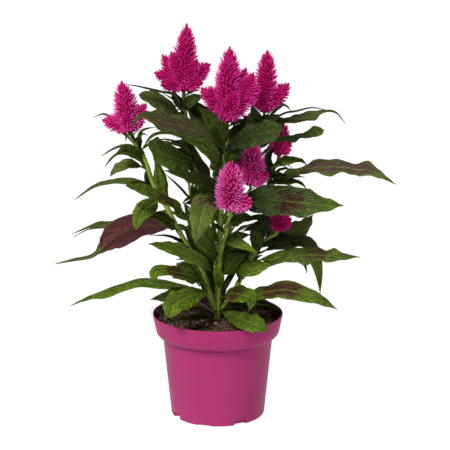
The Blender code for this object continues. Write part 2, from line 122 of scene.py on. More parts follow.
@dataclass
class Route:
    """A path with the share of its length at each point."""

    points: list[Vector]
    lengths: list[float] = field(init=False)

    def __post_init__(self) -> None:
        """Measure the path."""
        self.lengths = [0.0]
        for start, end in zip(self.points, self.points[1:]):
            self.lengths.append(self.lengths[-1] + (end - start).length)

    @property
    def length(self) -> float:
        """Return the whole length in metres."""
        return self.lengths[-1]

    def at(self, share: float) -> tuple[Vector, Vector]:
        """Return the point and the direction at a share of the length."""
        target = share * self.length
        index = min(int(np.searchsorted(self.lengths, target, side="right")), len(self.points) - 1)
        start, end = self.points[index - 1], self.points[index]
        step = end - start
        return start + step * ((target - self.lengths[index - 1]) / step.length), step.normalized()

    def eased(self, share: float) -> tuple[Vector, Vector]:
        """Return the point at a share, with the direction taken over a short stretch round it."""
        ahead = self.at(min(1.0, share + EASE_REACH))[0]
        back = self.at(max(0.0, share - EASE_REACH))[0]
        return self.at(share)[0], (ahead - back).normalized()


@dataclass
class Carrier:
    """A stem's finished path and radii, for what grows on it."""

    path: list[Vector]
    foot_radius: float
    tip_radius: float

    def radius(self, share: float) -> float:
        """Return the radius, in metres, at a share of the length."""
        return (self.foot_radius + (self.tip_radius - self.foot_radius) * share) * MM

    def index_at(self, height: float) -> int:
        """Return the path point that is nearest a height read on the front plane."""
        heights = [reading_height(point) for point in self.path]
        return min(range(1, len(self.path) - 1), key=lambda i: abs(heights[i] - height))

    def leave(self, height: float, towards: Vector, depth: float) -> Vector:
        """Return where a shoot starts in the stem.

        Args:
            height: The height at which it leaves, read on the front plane, in millimetres.
            towards: The shoot's next point.
            depth: How far under the stem's skin it starts, in metres.

        Returns:
            The starting point.
        """
        index = self.index_at(height)
        point = self.path[index]
        direction = (self.path[index + 1] - self.path[index - 1]).normalized()
        out = towards - point
        across = (out - out.dot(direction) * direction).normalized()
        return point + across * (self.radius(index / (len(self.path) - 1)) - depth)


# Modelling


def begin() -> None:
    """Let go of every object, so that an operator acts on the next piece only."""
    bpy.ops.object.select_all(action="DESELECT")


def pick(obj: bpy.types.Object) -> None:
    """Make one object the selected and active one."""
    begin()
    obj.select_set(True)
    bpy.context.view_layer.objects.active = obj


def apply_modifiers(obj: bpy.types.Object) -> None:
    """Apply an object's modifiers in their order."""
    pick(obj)
    for modifier in list(obj.modifiers):
        bpy.ops.object.modifier_apply(modifier=modifier.name)


def entitle(obj: bpy.types.Object, name: str) -> None:
    """Give an object and its mesh one name."""
    obj.name = name
    obj.data.name = name


def show(name: str, data: bpy.types.ID) -> bpy.types.Object:
    """Return a new object of the scene that shows a mesh, a light or a camera."""
    obj = bpy.data.objects.new(name, data)
    bpy.context.scene.collection.objects.link(obj)
    return obj


def from_corners(name: str, corners: np.ndarray, faces: list) -> bpy.types.Object:
    """Return a new object made of corners, in metres, and faces."""
    mesh = bpy.data.meshes.new(name)
    mesh.from_pydata(corners.tolist(), [], faces)
    return show(name, mesh)


def smooth(obj: bpy.types.Object) -> bpy.types.Object:
    """Shade an object smooth, and return it."""
    pick(obj)
    bpy.ops.object.shade_smooth()
    return obj


def join(name: str, objects: list[bpy.types.Object]) -> bpy.types.Object:
    """Return one object made of all the given ones."""
    begin()
    for obj in objects:
        obj.select_set(True)
    bpy.context.view_layer.objects.active = objects[0]
    if len(objects) > 1:
        bpy.ops.object.join()
    entitle(objects[0], name)
    return objects[0]


def settle(obj: bpy.types.Object) -> None:
    """Take the object's place, turn and size into its mesh."""
    pick(obj)
    bpy.ops.object.transform_apply(location=True, rotation=True, scale=True)


def face_outwards(obj: bpy.types.Object) -> None:
    """Turn every face of a closed mesh outwards."""
    pick(obj)
    bpy.ops.object.mode_set(mode="EDIT")
    bpy.ops.mesh.select_all(action="SELECT")
    bpy.ops.mesh.normals_make_consistent(inside=False)
    bpy.ops.object.mode_set(mode="OBJECT")


def set_values(obj: bpy.types.Object, name: str, values: np.ndarray) -> None:
    """Store one number per vertex under a name that the materials read."""
    attribute = obj.data.attributes.get(name) or obj.data.attributes.new(name, "FLOAT", "POINT")
    attribute.data.foreach_set("value", np.ascontiguousarray(values, dtype=np.float32))


def turned(name: str, outline: list[tuple[float, float]], sides: int) -> bpy.types.Object:
    """Return a shape turned round Z: a ring, extruded and resized up its outline.

    Args:
        name: The object's name.
        outline: (radius, height) pairs in metres. The ends are closed with a point each.
        sides: The number of sides.

    Returns:
        The closed object.
    """
    begin()
    radius, height = outline[0]
    bpy.ops.mesh.primitive_circle_add(vertices=sides, radius=radius, location=(0, 0, height))
    obj = bpy.context.object
    entitle(obj, name)
    settle(obj)
    bpy.ops.object.mode_set(mode="EDIT")
    bpy.ops.mesh.select_all(action="SELECT")
    for (old, low), (new, high) in zip(outline, outline[1:]):
        bpy.ops.mesh.extrude_region_move(TRANSFORM_OT_translate={"value": (0, 0, high - low)})
        bpy.ops.transform.resize(value=(new / old, new / old, 1.0), center_override=(0, 0, high))
    bpy.ops.mesh.extrude_region_move()
    bpy.ops.mesh.merge(type="CENTER")
    bpy.ops.mesh.select_all(action="DESELECT")
    bpy.ops.mesh.select_non_manifold()
    bpy.ops.mesh.extrude_region_move()
    bpy.ops.mesh.merge(type="CENTER")
    bpy.ops.object.mode_set(mode="OBJECT")
    face_outwards(obj)
    return obj


def tube(name: str, route: Route, rings: int, sides: int, radius) -> bpy.types.Object:
    """Return a tube bent along a route.

    Args:
        name: The object's name.
        route: The path that its middle follows.
        rings: The number of stretches along it.
        sides: The number of sides.
        radius: A function of the share of the length and the angle round, giving metres.

    Returns:
        The closed tube, with the attribute reach along it.
    """
    begin()
    bpy.ops.mesh.primitive_circle_add(vertices=sides, radius=1.0, fill_type="NGON")
    obj = bpy.context.object
    entitle(obj, name)
    bpy.ops.object.mode_set(mode="EDIT")
    bpy.ops.mesh.select_all(action="SELECT")
    for _ in range(rings):
        bpy.ops.mesh.extrude_region_move(TRANSFORM_OT_translate={"value": (0, 0, 1.0)})
    bpy.ops.object.mode_set(mode="OBJECT")
    side = None
    frames = []
    for index in range(rings + 1):
        point, direction = route.eased(index / rings)
        side = side or direction.orthogonal().normalized()
        side = (side - side.dot(direction) * direction).normalized()
        frames.append((point, side, direction.cross(side)))
    shares = np.zeros(len(obj.data.vertices))
    for vert in obj.data.vertices:
        index = round(vert.co.z)
        angle = math.atan2(vert.co.y, vert.co.x)
        point, right, ahead = frames[index]
        shares[vert.index] = index / rings
        reach = radius(index / rings, angle)
        vert.co = point + (right * math.cos(angle) + ahead * math.sin(angle)) * reach
    set_values(obj, "reach", shares)
    face_outwards(obj)
    return smooth(obj)


# Shader maths


class Wire:
    """An output socket. Arithmetic on it adds Math nodes to its graph."""

    def __init__(self, graph: "Graph", socket: bpy.types.NodeSocket) -> None:
        """Wrap a socket of a graph."""
        self.graph = graph
        self.socket = socket

    def _math(self, operation: str, *values: "Wire | float") -> "Wire":
        """Return the result of a Math node."""
        inputs = dict(enumerate(values))
        return self.graph.add("ShaderNodeMath", {"operation": operation}, inputs)

    def __add__(self, other: "Wire | float") -> "Wire":
        """Return self + other."""
        return self._math("ADD", self, other)

    __radd__ = __add__

    def __mul__(self, other: "Wire | float") -> "Wire":
        """Return self * other."""
        return self._math("MULTIPLY", self, other)

    __rmul__ = __mul__

    def __sub__(self, other: "Wire | float") -> "Wire":
        """Return self - other."""
        return self._math("SUBTRACT", self, other)

    def __rsub__(self, other: "Wire | float") -> "Wire":
        """Return other - self."""
        return self._math("SUBTRACT", other, self)

    def power(self, exponent: float) -> "Wire":
        """Return self raised to an exponent."""
        return self._math("POWER", self, exponent)

    def size(self) -> "Wire":
        """Return the value without its sign."""
        return self._math("ABSOLUTE", self)

    def part(self) -> "Wire":
        """Return what is left over a whole number."""
        return self._math("FRACT", self)

    def ease(self, low: float, high: float) -> "Wire":
        """Return 0 below low and 1 above high, eased between them."""
        return self.graph.add(
            "ShaderNodeMapRange", {"interpolation_type": "SMOOTHSTEP"},
            {"Value": self, "From Min": low, "From Max": high})


class Graph:
    """A material's nodes, built up from expressions."""

    def __init__(self, name: str) -> None:
        """Start a material with one Principled shader."""
        self.material = bpy.data.materials.new(name)
        self.material.use_nodes = True
        self.nodes = self.material.node_tree.nodes
        self.links = self.material.node_tree.links
        self.shader = self.nodes["Principled BSDF"]

    def add(self, kind: str, settings: dict | None = None, inputs: dict | None = None,
            output: int | str = 0) -> Wire:
        """Add a node.

        Args:
            kind: The node's type.
            settings: Its settings, made first.
            inputs: Values or wires, by the socket's name or number.
            output: The socket that is returned, by name or number.

        Returns:
            The output, as a wire.
        """
        node = self.nodes.new(kind)
        for key, value in (settings or {}).items():
            setattr(node, key, value)
        for key, value in (inputs or {}).items():
            self.join(value, node.inputs[key])
        return Wire(self, node.outputs[output])

    def join(self, value: "Wire | float | tuple", socket: bpy.types.NodeSocket) -> None:
        """Link a wire to a socket, or set the socket's own value."""
        if isinstance(value, Wire):
            self.links.new(value.socket, socket)
        elif isinstance(value, tuple) and len(socket.default_value) == len(value) + 1:
            socket.default_value = (*value, 1.0)
        else:
            socket.default_value = value

    def attribute(self, name: str) -> Wire:
        """Return a number stored on the mesh."""
        return self.add("ShaderNodeAttribute", {"attribute_name": name}, output="Fac")

    def place(self) -> Wire:
        """Return the place on the object, in metres."""
        return self.add("ShaderNodeTexCoord", output="Object")

    def grain(self, scale: float, detail: float = 3.0, stretch: tuple | None = None) -> Wire:
        """Return a noise from 0 to 1, with so many waves to a metre."""
        vector = self.place()
        if stretch:
            vector = self.add("ShaderNodeMapping", inputs={"Vector": vector, "Scale": stretch})
        return self.add("ShaderNodeTexNoise", inputs={"Vector": vector, "Scale": scale,
                                                      "Detail": detail})

    def mix(self, start: "Wire | Colour", end: "Wire | Colour", share: "Wire | float") -> Wire:
        """Return a colour between two others."""
        return self.add("ShaderNodeMix", {"data_type": "RGBA"},
                        {0: share, 6: start, 7: end}, output=2)

    def bump(self, height: Wire, depth: float) -> Wire:
        """Return a normal that follows a height, which is a share of a depth in metres."""
        return self.add("ShaderNodeBump", inputs={"Height": height, "Distance": depth})

    def finish(self, **inputs: "Wire | float | tuple") -> bpy.types.Material:
        """Join the shader's sockets, named with _ for a space, and return the material."""
        for key, value in inputs.items():
            self.join(value, self.shader.inputs[key.replace("_", " ")])
        return self.material


@dataclass(frozen=True, kw_only=True)
class Finish:
    """What the finishes share: roughness, shine, and the depth of the relief in metres."""

    roughness: float = 0.85
    specular: float = 0.5
    relief: float = 0.0002

    def close(self, graph: Graph, colour: Wire, height: Wire | None = None,
              rough: Wire | None = None) -> bpy.types.Material:
        """Return a graph's material, once its colour, relief and roughness are drawn up."""
        inputs = {"Base_Color": colour, "Specular_IOR_Level": self.specular,
                  "Roughness": self.roughness if rough is None else rough}
        if height is not None:
            inputs["Normal"] = graph.bump(height, self.relief)
        return graph.finish(**inputs)


@dataclass(frozen=True)
class PotFinish(Finish):
    """Moulded magenta plastic with a satin face, faint flow marks, a little dust and painted shade.
    """

    colour: Colour = (0.375, 0.030, 0.140)
    deep: Colour = (0.315, 0.022, 0.112)
    dust: Colour = (0.42, 0.16, 0.22)
    # The near-black of the painted shade on the inside of the upper wall
    peat: Colour = (0.030, 0.014, 0.011)
    # The colour of the painted shade in the outer corner under the rim band
    corner: Colour = (0.085, 0.008, 0.034)
    roughness: float = 0.42
    specular: float = 0.11
    relief: float = 0.00008

    def material(self) -> bpy.types.Material:
        """Return the pot's material."""
        graph = Graph("pot_plastic")
        flow = graph.grain(14.0, 3.0, (1.0, 1.0, 0.25))
        speck = graph.grain(900.0, 2.0)
        dust = graph.grain(60.0, 4.0).ease(0.58, 0.8) * speck.ease(0.45, 0.7)
        colour = graph.mix(self.deep, self.colour, flow.ease(0.3, 0.7))
        colour = graph.mix(colour, self.dust, dust * 0.16)
        # Painted shade: the outer corner under the rim band is darkened.
        colour = graph.mix(colour, self.corner, graph.attribute("corner") * 0.65)
        # Painted shade: the inside of the upper wall is darkened almost to black, with a faint
        # speckle.
        peat = graph.attribute("inside") * (0.82 + speck.ease(0.35, 0.6) * 0.15)
        colour = graph.mix(colour, self.peat, peat)
        return self.close(graph, colour, speck * 0.5 + flow * 0.5,
                          self.roughness + dust * 0.2 + flow * 0.06)


@dataclass(frozen=True)
class SoilFinish(Finish):
    """Dark, damp peat with brown fibres in it."""

    dark: Colour = (0.012, 0.0075, 0.0052)
    brown: Colour = (0.125, 0.070, 0.040)
    light: Colour = (0.38, 0.23, 0.14)
    roughness: float = 0.93
    specular: float = 0.2
    relief: float = 0.0006

    def material(self) -> bpy.types.Material:
        """Return the soil's material."""
        graph = Graph("peat")
        coarse, fine = graph.grain(260.0, 4.0), graph.grain(1500.0, 3.0)
        colour = graph.mix(self.dark, self.brown, coarse.ease(0.40, 0.66))
        colour = graph.mix(colour, self.light, fine.ease(0.54, 0.68) * coarse.ease(0.3, 0.6))
        return self.close(graph, colour, fine * 0.6 + coarse * 0.4)


@dataclass(frozen=True)
class LitterFinish(Finish):
    """Bits that lie on the soil: one colour with a little grain in it."""

    name: str
    colour: Colour
    shade: Colour

    def material(self) -> bpy.types.Material:
        """Return the material."""
        graph = Graph(self.name)
        grain = graph.grain(900.0, 3.0)
        return self.close(graph, graph.mix(self.shade, self.colour, grain.ease(0.35, 0.65)), grain)


@dataclass(frozen=True)
class StemFinish(Finish):
    """Green ribbed stem, pale on its ribs and reddish towards the flowers."""

    furrow: Colour = (0.125, 0.195, 0.014)
    rib: Colour = (0.36, 0.46, 0.075)
    blush: Colour = (0.16, 0.075, 0.045)
    roughness: float = 0.47
    specular: float = 0.28
    relief: float = 0.00018

    def material(self) -> bpy.types.Material:
        """Return the stems' material."""
        graph = Graph("stem_skin")
        rib, blush = graph.attribute("rib"), graph.attribute("blush")
        grain = graph.grain(420.0, 3.0)
        colour = graph.mix(self.furrow, self.rib, (rib * 0.8 + grain * 0.5 - 0.15).ease(0.1, 0.95))
        colour = graph.mix(colour, self.blush, (blush + grain * 0.4 - 0.2).ease(0.1, 1.0) * 0.75)
        return self.close(graph, colour, grain * 0.5 + rib * 0.5)


@dataclass(frozen=True)
class LeafFinish(Finish):
    """Leaf skin: green by its tone, which is partly painted shade, with paler veins, painted shade
    in the furrows beside them, a maroon patch and a greyer underside.
    """

    dark: Colour = (0.009, 0.017, 0.0032)
    middle: Colour = (0.048, 0.082, 0.0065)
    bright: Colour = (0.138, 0.238, 0.008)
    vein: Colour = (0.23, 0.31, 0.040)
    maroon: Colour = (0.022, 0.006, 0.004)
    light_maroon: Colour = (0.072, 0.020, 0.014)
    mauve: Colour = (0.125, 0.078, 0.072)
    grey: Colour = (0.100, 0.116, 0.040)
    cool: Colour = (0.052, 0.108, 0.030)
    under: Colour = (0.105, 0.150, 0.045)
    under_maroon: Colour = (0.125, 0.034, 0.040)
    roughness: float = 0.42
    specular: float = 0.14
    relief: float = 0.0013

    def material(self) -> bpy.types.Material:
        """Return the leaves' material."""
        graph = Graph("leaf_skin")
        map_ = graph.add("ShaderNodeUVMap", {"uv_map": "UVMap"})
        split = graph.add("ShaderNodeSeparateXYZ", inputs={"Vector": map_})
        node = split.socket.node
        out = (Wire(graph, node.outputs[0]) * 2.0 - 1.0).size()
        reach = Wire(graph, node.outputs[1])
        tone, patch = graph.attribute("tone"), graph.attribute("patch")
        below, bloom = graph.attribute("below"), graph.attribute("bloom")
        broad, blotch = graph.grain(75.0, 3.0), graph.grain(210.0, 3.0)
        crinkle, fine = graph.grain(330.0, 4.0), graph.grain(600.0, 3.0)
        beat = ((reach * VEIN_PAIRS - out.power(VEIN_CURVE) * VEIN_LEAN + broad * 0.35).part()
                - 0.5).size() * 2.0
        inside = 1.0 - out.ease(0.82, 1.0)
        side_vein = beat.ease(0.7, 0.98) * inside
        furrow = beat.ease(0.45, 0.8) * (1.0 - beat.ease(0.8, 0.95)) * inside
        mid_vein = 1.0 - out.ease(0.02, 0.14)
        # Painted shade: the leaf is darker in the furrows beside the side veins.
        light = (tone + (broad - 0.5) + (crinkle - 0.5) * 1.25 + (fine - 0.5) * 0.3
                 - furrow * 0.55)
        green = graph.mix(self.dark, self.middle, light.ease(-0.25, 0.5))
        green = graph.mix(green, self.bright, light.ease(0.3, 1.15))
        green = graph.mix(green, self.grey, bloom * (0.55 + broad * 0.4))
        green = graph.mix(green, self.cool, bloom * (furrow * 0.5 - 0.2 - broad * 0.8))
        green = graph.mix(green, self.vein, side_vein * (0.24 + tone * 0.5) * (0.4 + crinkle))
        stain = (patch * 1.3 + (broad - 0.5) * 1.4 + (blotch - 0.5) * 1.5
                 - beat.ease(0.6, 1.0) * 0.3).ease(0.35, 0.85)
        red = graph.mix(self.maroon, self.light_maroon, light.ease(-0.1, 0.8))
        red = graph.mix(red, self.mauve, bloom * (0.7 + crinkle * 0.5))
        top = graph.mix(green, red, stain * 0.92)
        top = graph.mix(top, self.vein, mid_vein * (0.12 + tone * 0.5))
        pale = graph.mix(self.under, self.bright, tone * 0.35)
        pale = graph.mix(pale, self.under_maroon, patch.ease(0.15, 0.6))
        veins = (mid_vein * 0.5 + side_vein * 0.3) * (1.0 - patch * 0.75)
        pale = graph.mix(pale, self.vein, veins)
        height = (1.0 - side_vein) * 0.45 + crinkle * 1.1 + (1.0 - mid_vein) * 0.35
        return self.close(graph, graph.mix(top, pale, below), height,
                          self.roughness + below * 0.16 + fine * 0.12)


@dataclass(frozen=True)
class FloretFinish(Finish):
    """Papery florets: dark red at the root, partly painted shade, then magenta, and pink at the
    point.
    """

    root: Colour = (0.26, 0.0004, 0.045)
    middle: Colour = (0.72, 0.003, 0.25)
    point: Colour = (0.97, 0.055, 0.54)
    white: Colour = (1.0, 0.30, 0.78)
    deep: Colour = (0.44, 0.001, 0.10)
    roughness: float = 0.6
    specular: float = 0.08

    def material(self) -> bpy.types.Material:
        """Return the florets' material."""
        graph = Graph("florets")
        reach, tone = graph.attribute("reach"), graph.attribute("tone")
        # Partly a painted highlight: the tips are whiter as the head's pale rises.
        tip = graph.mix(self.point, self.white, graph.attribute("pale"))
        # Painted shade in part: each tepal is dark red at its root, where the florets crowd.
        colour = graph.mix(self.root, self.middle, reach.ease(0.12, 0.55))
        # Painted shade in part: florets of low tone, as set for each head, are darker.
        colour = graph.mix(colour, self.deep, (1.0 - tone).ease(0.3, 1.0) * 0.7)
        colour = graph.mix(colour, tip, reach.ease(0.47, 0.92) * (0.35 + tone * 0.65))
        return self.close(graph, colour)


# The pot and what is in it


@dataclass
class GrowPot:
    """The grow pot, 12 cm across its rim, with a rim band and drain recesses in its foot.

    Two shallow steps across the foot's edge lie between the recesses. The hub is the radius at
    which the outline starts and ends.
    """

    height: float = 96.0
    rim_radius: float = 60.0
    band_foot_radius: float = 57.0
    band_foot_z: float = 80.0
    neck_radius: float = 50.5
    neck_z: float = 74.0
    foot_radius: float = 43.3
    foot_round: float = 1.4
    wall: float = 1.3
    hub: float = 4.0
    lip_setback: tuple = (0.32, 2.2)
    neck_fillet: Pairs = ((0.0, 1.2), (0.15, 0.3))
    floor_fillet: tuple = (0.8, 0.6)
    band_turn: Pairs = ((0.06, 1.2), (0.2, 2.6), (0.38, 3.7), (0.6, 4.6), (0.82, 5.3))
    sides: int = 160
    arc_steps: int = 5
    corner_segments: int = 4
    recess_width: float = 12.0
    recess_height: float = 5.0
    recess_depth: float = 4.6
    recess_round: float = 1.5
    recess_angles: tuple = (-61.0, 29.0, 119.0, 209.0)
    lining_inset: float = 0.9
    lining_floor: float = 0.3
    lining_share: float = 0.4
    step_angles: tuple = (-106.0, 74.0)
    step_width: float = 12.0
    step_height: float = 1.0
    smooth_angle: float = 38.0
    inside_lean: float = 0.17
    corner_shade_band: tuple = (-0.5, 1.0)

    def turn(self) -> list[tuple[float, float]]:
        """Return the band's foot, where it turns in to the neck, from the top down."""
        way_in = self.band_foot_radius - self.neck_radius
        return [(self.band_foot_radius, self.band_foot_z),
                *[(self.band_foot_radius - share * way_in, self.band_foot_z - drop)
                  for share, drop in self.band_turn]]

    def outline(self) -> list[tuple[float, float]]:
        """Return the section, from the middle of the foot up the outside and down the inside."""
        arc = [i / self.arc_steps * math.pi / 2 for i in range(self.arc_steps + 1)]
        foot = [(self.foot_radius - self.foot_round * (1.0 - math.sin(a)),
                 self.foot_round * (1.0 - math.cos(a))) for a in arc]
        half = self.wall / 2
        lip_middle = (self.rim_radius - half, self.height - half)
        lip = [(lip_middle[0] + half * math.cos(a * 2), lip_middle[1] + half * math.sin(a * 2))
               for a in arc]
        neck = [(self.neck_radius + out, self.neck_z - drop) for out, drop in self.neck_fillet]
        back, down = self.lip_setback
        inside = [(self.rim_radius - self.wall - back, self.height - down)]
        inside += [(r - self.wall, z + self.wall * 0.6) for r, z in self.turn()]
        corner, rise = self.floor_fillet
        return [(self.hub, 0.0), *foot, *neck, *reversed(self.turn()), *lip, *inside,
                (self.neck_radius - self.wall, self.neck_z),
                (self.foot_radius - self.wall, self.wall + rise),
                (self.foot_radius - self.wall - corner, self.wall), (self.hub, self.wall)]

    def cutter(self, size: Spot, angle: float, corner: float) -> bpy.types.Object:
        """Return a block with rounded edges that stands across the foot's edge."""
        begin()
        turn = math.radians(angle)
        spot = (self.foot_radius * MM * math.cos(turn), self.foot_radius * MM * math.sin(turn), 0)
        bpy.ops.mesh.primitive_cube_add(size=1.0, location=spot, rotation=(0, 0, turn),
                                        scale=tuple(value * MM for value in size))
        block = bpy.context.object
        settle(block)
        soft = block.modifiers.new("Soft", "BEVEL")
        soft.width = corner * MM
        soft.segments = self.corner_segments
        apply_modifiers(block)
        return block

    def cut(self, pot: bpy.types.Object, tool: bpy.types.Object, operation: str) -> None:
        """Join a tool to the pot or cut it away, and drop the tool."""
        boolean = pot.modifiers.new("Cut", "BOOLEAN")
        boolean.operation = operation
        boolean.solver = "EXACT"
        boolean.object = tool
        apply_modifiers(pot)
        bpy.data.objects.remove(tool, do_unlink=True)

    def build(self) -> bpy.types.Object:
        """Return the pot."""
        pot = turned("pot_moulded", [(r * MM, z * MM) for r, z in self.outline()], self.sides)
        depth, width, height = self.recess_depth, self.recess_width, self.recess_height
        for angle in self.recess_angles:
            size = (2 * (depth + self.wall), width + 2 * self.wall, 2 * (height + self.wall))
            lining = self.cutter(size, angle, self.recess_round + self.wall / 2)
            self.trim(lining)
            self.cut(pot, lining, "UNION")
        for angle in self.recess_angles:
            self.cut(pot, self.cutter((2 * depth, width, 2 * height), angle, self.recess_round),
                     "DIFFERENCE")
        for angle in self.step_angles:
            self.cut(pot, self.cutter((6 * self.wall, self.step_width, 2 * self.step_height),
                                      angle, self.step_height * 0.9), "DIFFERENCE")
        pick(pot)
        bpy.ops.object.shade_smooth_by_angle(angle=math.radians(self.smooth_angle))
        spots = [(math.hypot(vert.co.x, vert.co.y) / MM, vert.co.z / MM)
                 for vert in pot.data.vertices]
        set_values(pot, "inside", np.array([float(self.is_shaded_inside(*spot)) for spot in spots]))
        set_values(pot, "corner", np.array([float(self.is_shaded_corner(*spot)) for spot in spots]))
        return pot

    def is_shaded_inside(self, out: float, z: float) -> bool:
        """Tell whether a place is on the upper wall's inside, which is darkened with painted shade.
        """
        face = self.rim_radius - self.wall + 0.1 - (self.height - z) * self.inside_lean
        return self.neck_radius < out < face and z > self.band_foot_z - 0.5

    def is_shaded_corner(self, out: float, z: float) -> bool:
        """Tell whether a place is in the outer corner under the rim band, darkened with painted
        shade.
        """
        low, high = self.neck_z + self.corner_shade_band[0], self.neck_z + self.corner_shade_band[1]
        return out > self.neck_radius - self.wall / 2 and low < z < high

    def trim(self, lining: bpy.types.Object) -> None:
        """Keep the part of a recess lining that lies inside the pot's own wall."""
        radius = self.foot_radius - self.lining_inset
        top_radius = radius + (self.neck_radius - self.foot_radius) * self.lining_share
        top_z = self.neck_z * self.lining_share
        outline = ((self.hub, self.lining_floor), (radius, self.lining_floor),
                   (top_radius, top_z), (self.hub, top_z))
        shell = turned("shell", [(r * MM, z * MM) for r, z in outline], self.sides)
        self.cut(lining, shell, "INTERSECT")


@dataclass
class Soil:
    """The peat root ball, with crumbs, pale grains and fibres on its top.

    Its top is rough by layers of noise, each (layer, waves to a millimetre, height). The front
    grains are (x, y, size).
    """

    pot: GrowPot
    crown_z: float = 90.0
    edge_z: float = 87.6
    room: float = 0.3
    floor_z: float = 8.0
    rings: int = 46
    sides: int = 150
    lump: float = 1.1
    crumbs: int = 1100
    fibres: int = 110
    grains: int = 9
    rough: tuple = ((0.0, 0.11, 1.1), (7.0, 0.34, 0.9), (3.0, 0.9, 0.5))
    edge_margin: float = 1.2
    stem_margin: float = 3.4
    stretch: tuple = (0.7, 1.2)
    front_grains: tuple = ((-9.8, -20.5, 3.0), (-1.9, -18.0, 3.6), (-14.0, -9.0, 2.0))
    grain_seed: int = 30
    strand_path: tuple = ((-0.5, 0, 0), (-0.2, 0.07, 0.05), (0.15, -0.05, 0.03),
                          (0.5, 0.06, -0.02))

    def edge_radius(self) -> float:
        """Return the radius of the top, in millimetres."""
        share = (self.edge_z - self.pot.band_foot_z) / (self.pot.height - self.pot.band_foot_z)
        rise = self.pot.rim_radius - self.pot.band_foot_radius
        return self.pot.band_foot_radius + rise * share - self.pot.wall - self.room

    def top_z(self, x: float, y: float) -> float:
        """Return the height of the soil's top at a place, all in millimetres."""
        out = min(1.0, math.hypot(x, y) / self.edge_radius())
        dome = self.edge_z + (self.crown_z - self.edge_z) * (1.0 - out * out)
        rough = sum(noise.noise(Vector((x, y, layer)) * scale) * height
                    for layer, scale, height in self.rough)
        return dome + rough * self.lump * (1.0 - out ** 8 * 0.5)

    def build(self) -> bpy.types.Object:
        """Return the root ball."""
        back = self.pot.wall + self.room
        edge = self.edge_radius()
        # Narrow at its foot, and clear of the two corners on the inside of the pot's wall
        wall = [(self.pot.foot_radius - back - 7.2, self.floor_z),
                (self.pot.foot_radius - back + 0.6, self.floor_z + 3.0),
                (self.pot.neck_radius - back - 0.2, self.pot.neck_z),
                (self.pot.band_foot_radius - back - 0.6, self.pot.band_foot_z + 0.8),
                (edge, self.edge_z)]
        top = [(edge * (1.0 - index / self.rings), self.edge_z + 0.001 * index)
               for index in range(1, self.rings)]
        outline = [(self.pot.hub, self.floor_z), *wall, *top]
        soil = turned("soil_peat", [(r * MM, z * MM) for r, z in outline], self.sides)
        for vert in soil.data.vertices:
            x, y, z = vert.co / MM
            if z > self.edge_z - 0.01:
                vert.co.z = self.top_z(x, y) * MM
        return smooth(soil)

    def scatter(self, source: bpy.types.Object, name: str, count: int, sizes: Spot,
                sink: float, seed: int) -> bpy.types.Object:
        """Return copies of a shape, strewn over the soil as one piece.

        Args:
            source: The shape, about 1 m across. It is used up.
            name: The piece's name.
            count: How many copies.
            sizes: The least, usual and greatest size in millimetres.
            sink: How deep a copy lies in the soil, as a share of its size.
            seed: The seed of the random draws.

        Returns:
            The piece.
        """
        draw = random.Random(seed)
        shape = np.array([vert.co for vert in source.data.vertices])
        faces = [tuple(face.vertices) for face in source.data.polygons]
        verts, all_faces = [], []
        while len(verts) < count:
            angle, out = draw.uniform(0, 2 * math.pi), math.sqrt(draw.random())
            x = math.cos(angle) * out * (self.edge_radius() - self.edge_margin)
            y = math.sin(angle) * out * (self.edge_radius() - self.edge_margin)
            size = draw.triangular(sizes[0], sizes[2], sizes[1])
            if math.hypot(x, y) < self.stem_margin + size / 2:
                continue
            turn = Vector((draw.gauss(0, 1), draw.gauss(0, 1), draw.gauss(0, 1)))
            spin = np.array(turn.to_track_quat("Z", "Y").to_matrix())
            stretch = np.array([draw.uniform(*self.stretch) for _ in range(3)])
            spot = np.array((x, y, self.top_z(x, y) + size * (0.5 - sink)))
            offset = len(verts) * len(shape)
            verts.append(((shape * stretch) @ spin.T * size + spot) * MM)
            all_faces += [tuple(index + offset for index in face) for face in faces]
        bpy.data.objects.remove(source, do_unlink=True)
        return from_corners(name, np.concatenate(verts), all_faces)

    def laid(self, name: str, runs: tuple[tuple[Spot, ...], ...],
             radius: float) -> bpy.types.Object:
        """Return thin stalks or fibres laid along given places, as one piece."""
        parts = []
        for index, run in enumerate(runs):
            route = Route(smooth_path([place(*spot) for spot in run], 1.5 * MM))
            parts.append(tube(f"{name}_{index}", route, 14, 6, lambda share, angle: (
                radius * MM * (1.0 - share * 0.55))))
        return join(name, parts)

    def set_grains(self) -> bpy.types.Object:
        """Return the pale grains in front of the stem."""
        parts = []
        for index, (x, y, size) in enumerate(self.front_grains):
            grain = self.crumb(self.grain_seed + index, 0.12)
            grain.name = f"front_grain_{index}"
            grain.data.transform(Matrix.Scale(size * MM, 4))
            grain.location = Vector((x, y, self.top_z(x, y) + size * 0.25)) * MM
            settle(grain)
            parts.append(grain)
        return join("soil_front_grains", parts)

    def crumb(self, seed: int, roughness: float) -> bpy.types.Object:
        """Return one uneven lump about 1 m across."""
        begin()
        bpy.ops.mesh.primitive_ico_sphere_add(subdivisions=1, radius=0.5)
        lump = bpy.context.object
        draw = random.Random(seed)
        for vert in lump.data.vertices:
            vert.co *= 1.0 + draw.uniform(-roughness, roughness)
        return lump

    def strand(self) -> bpy.types.Object:
        """Return one thin bent fibre about 1 m long."""
        path = smooth_path([Vector(spot) for spot in self.strand_path], 0.12)
        return tube("strand", Route(path), 6, 3, lambda share, angle: 0.022 * (1.1 - share * 0.5))


# What grows


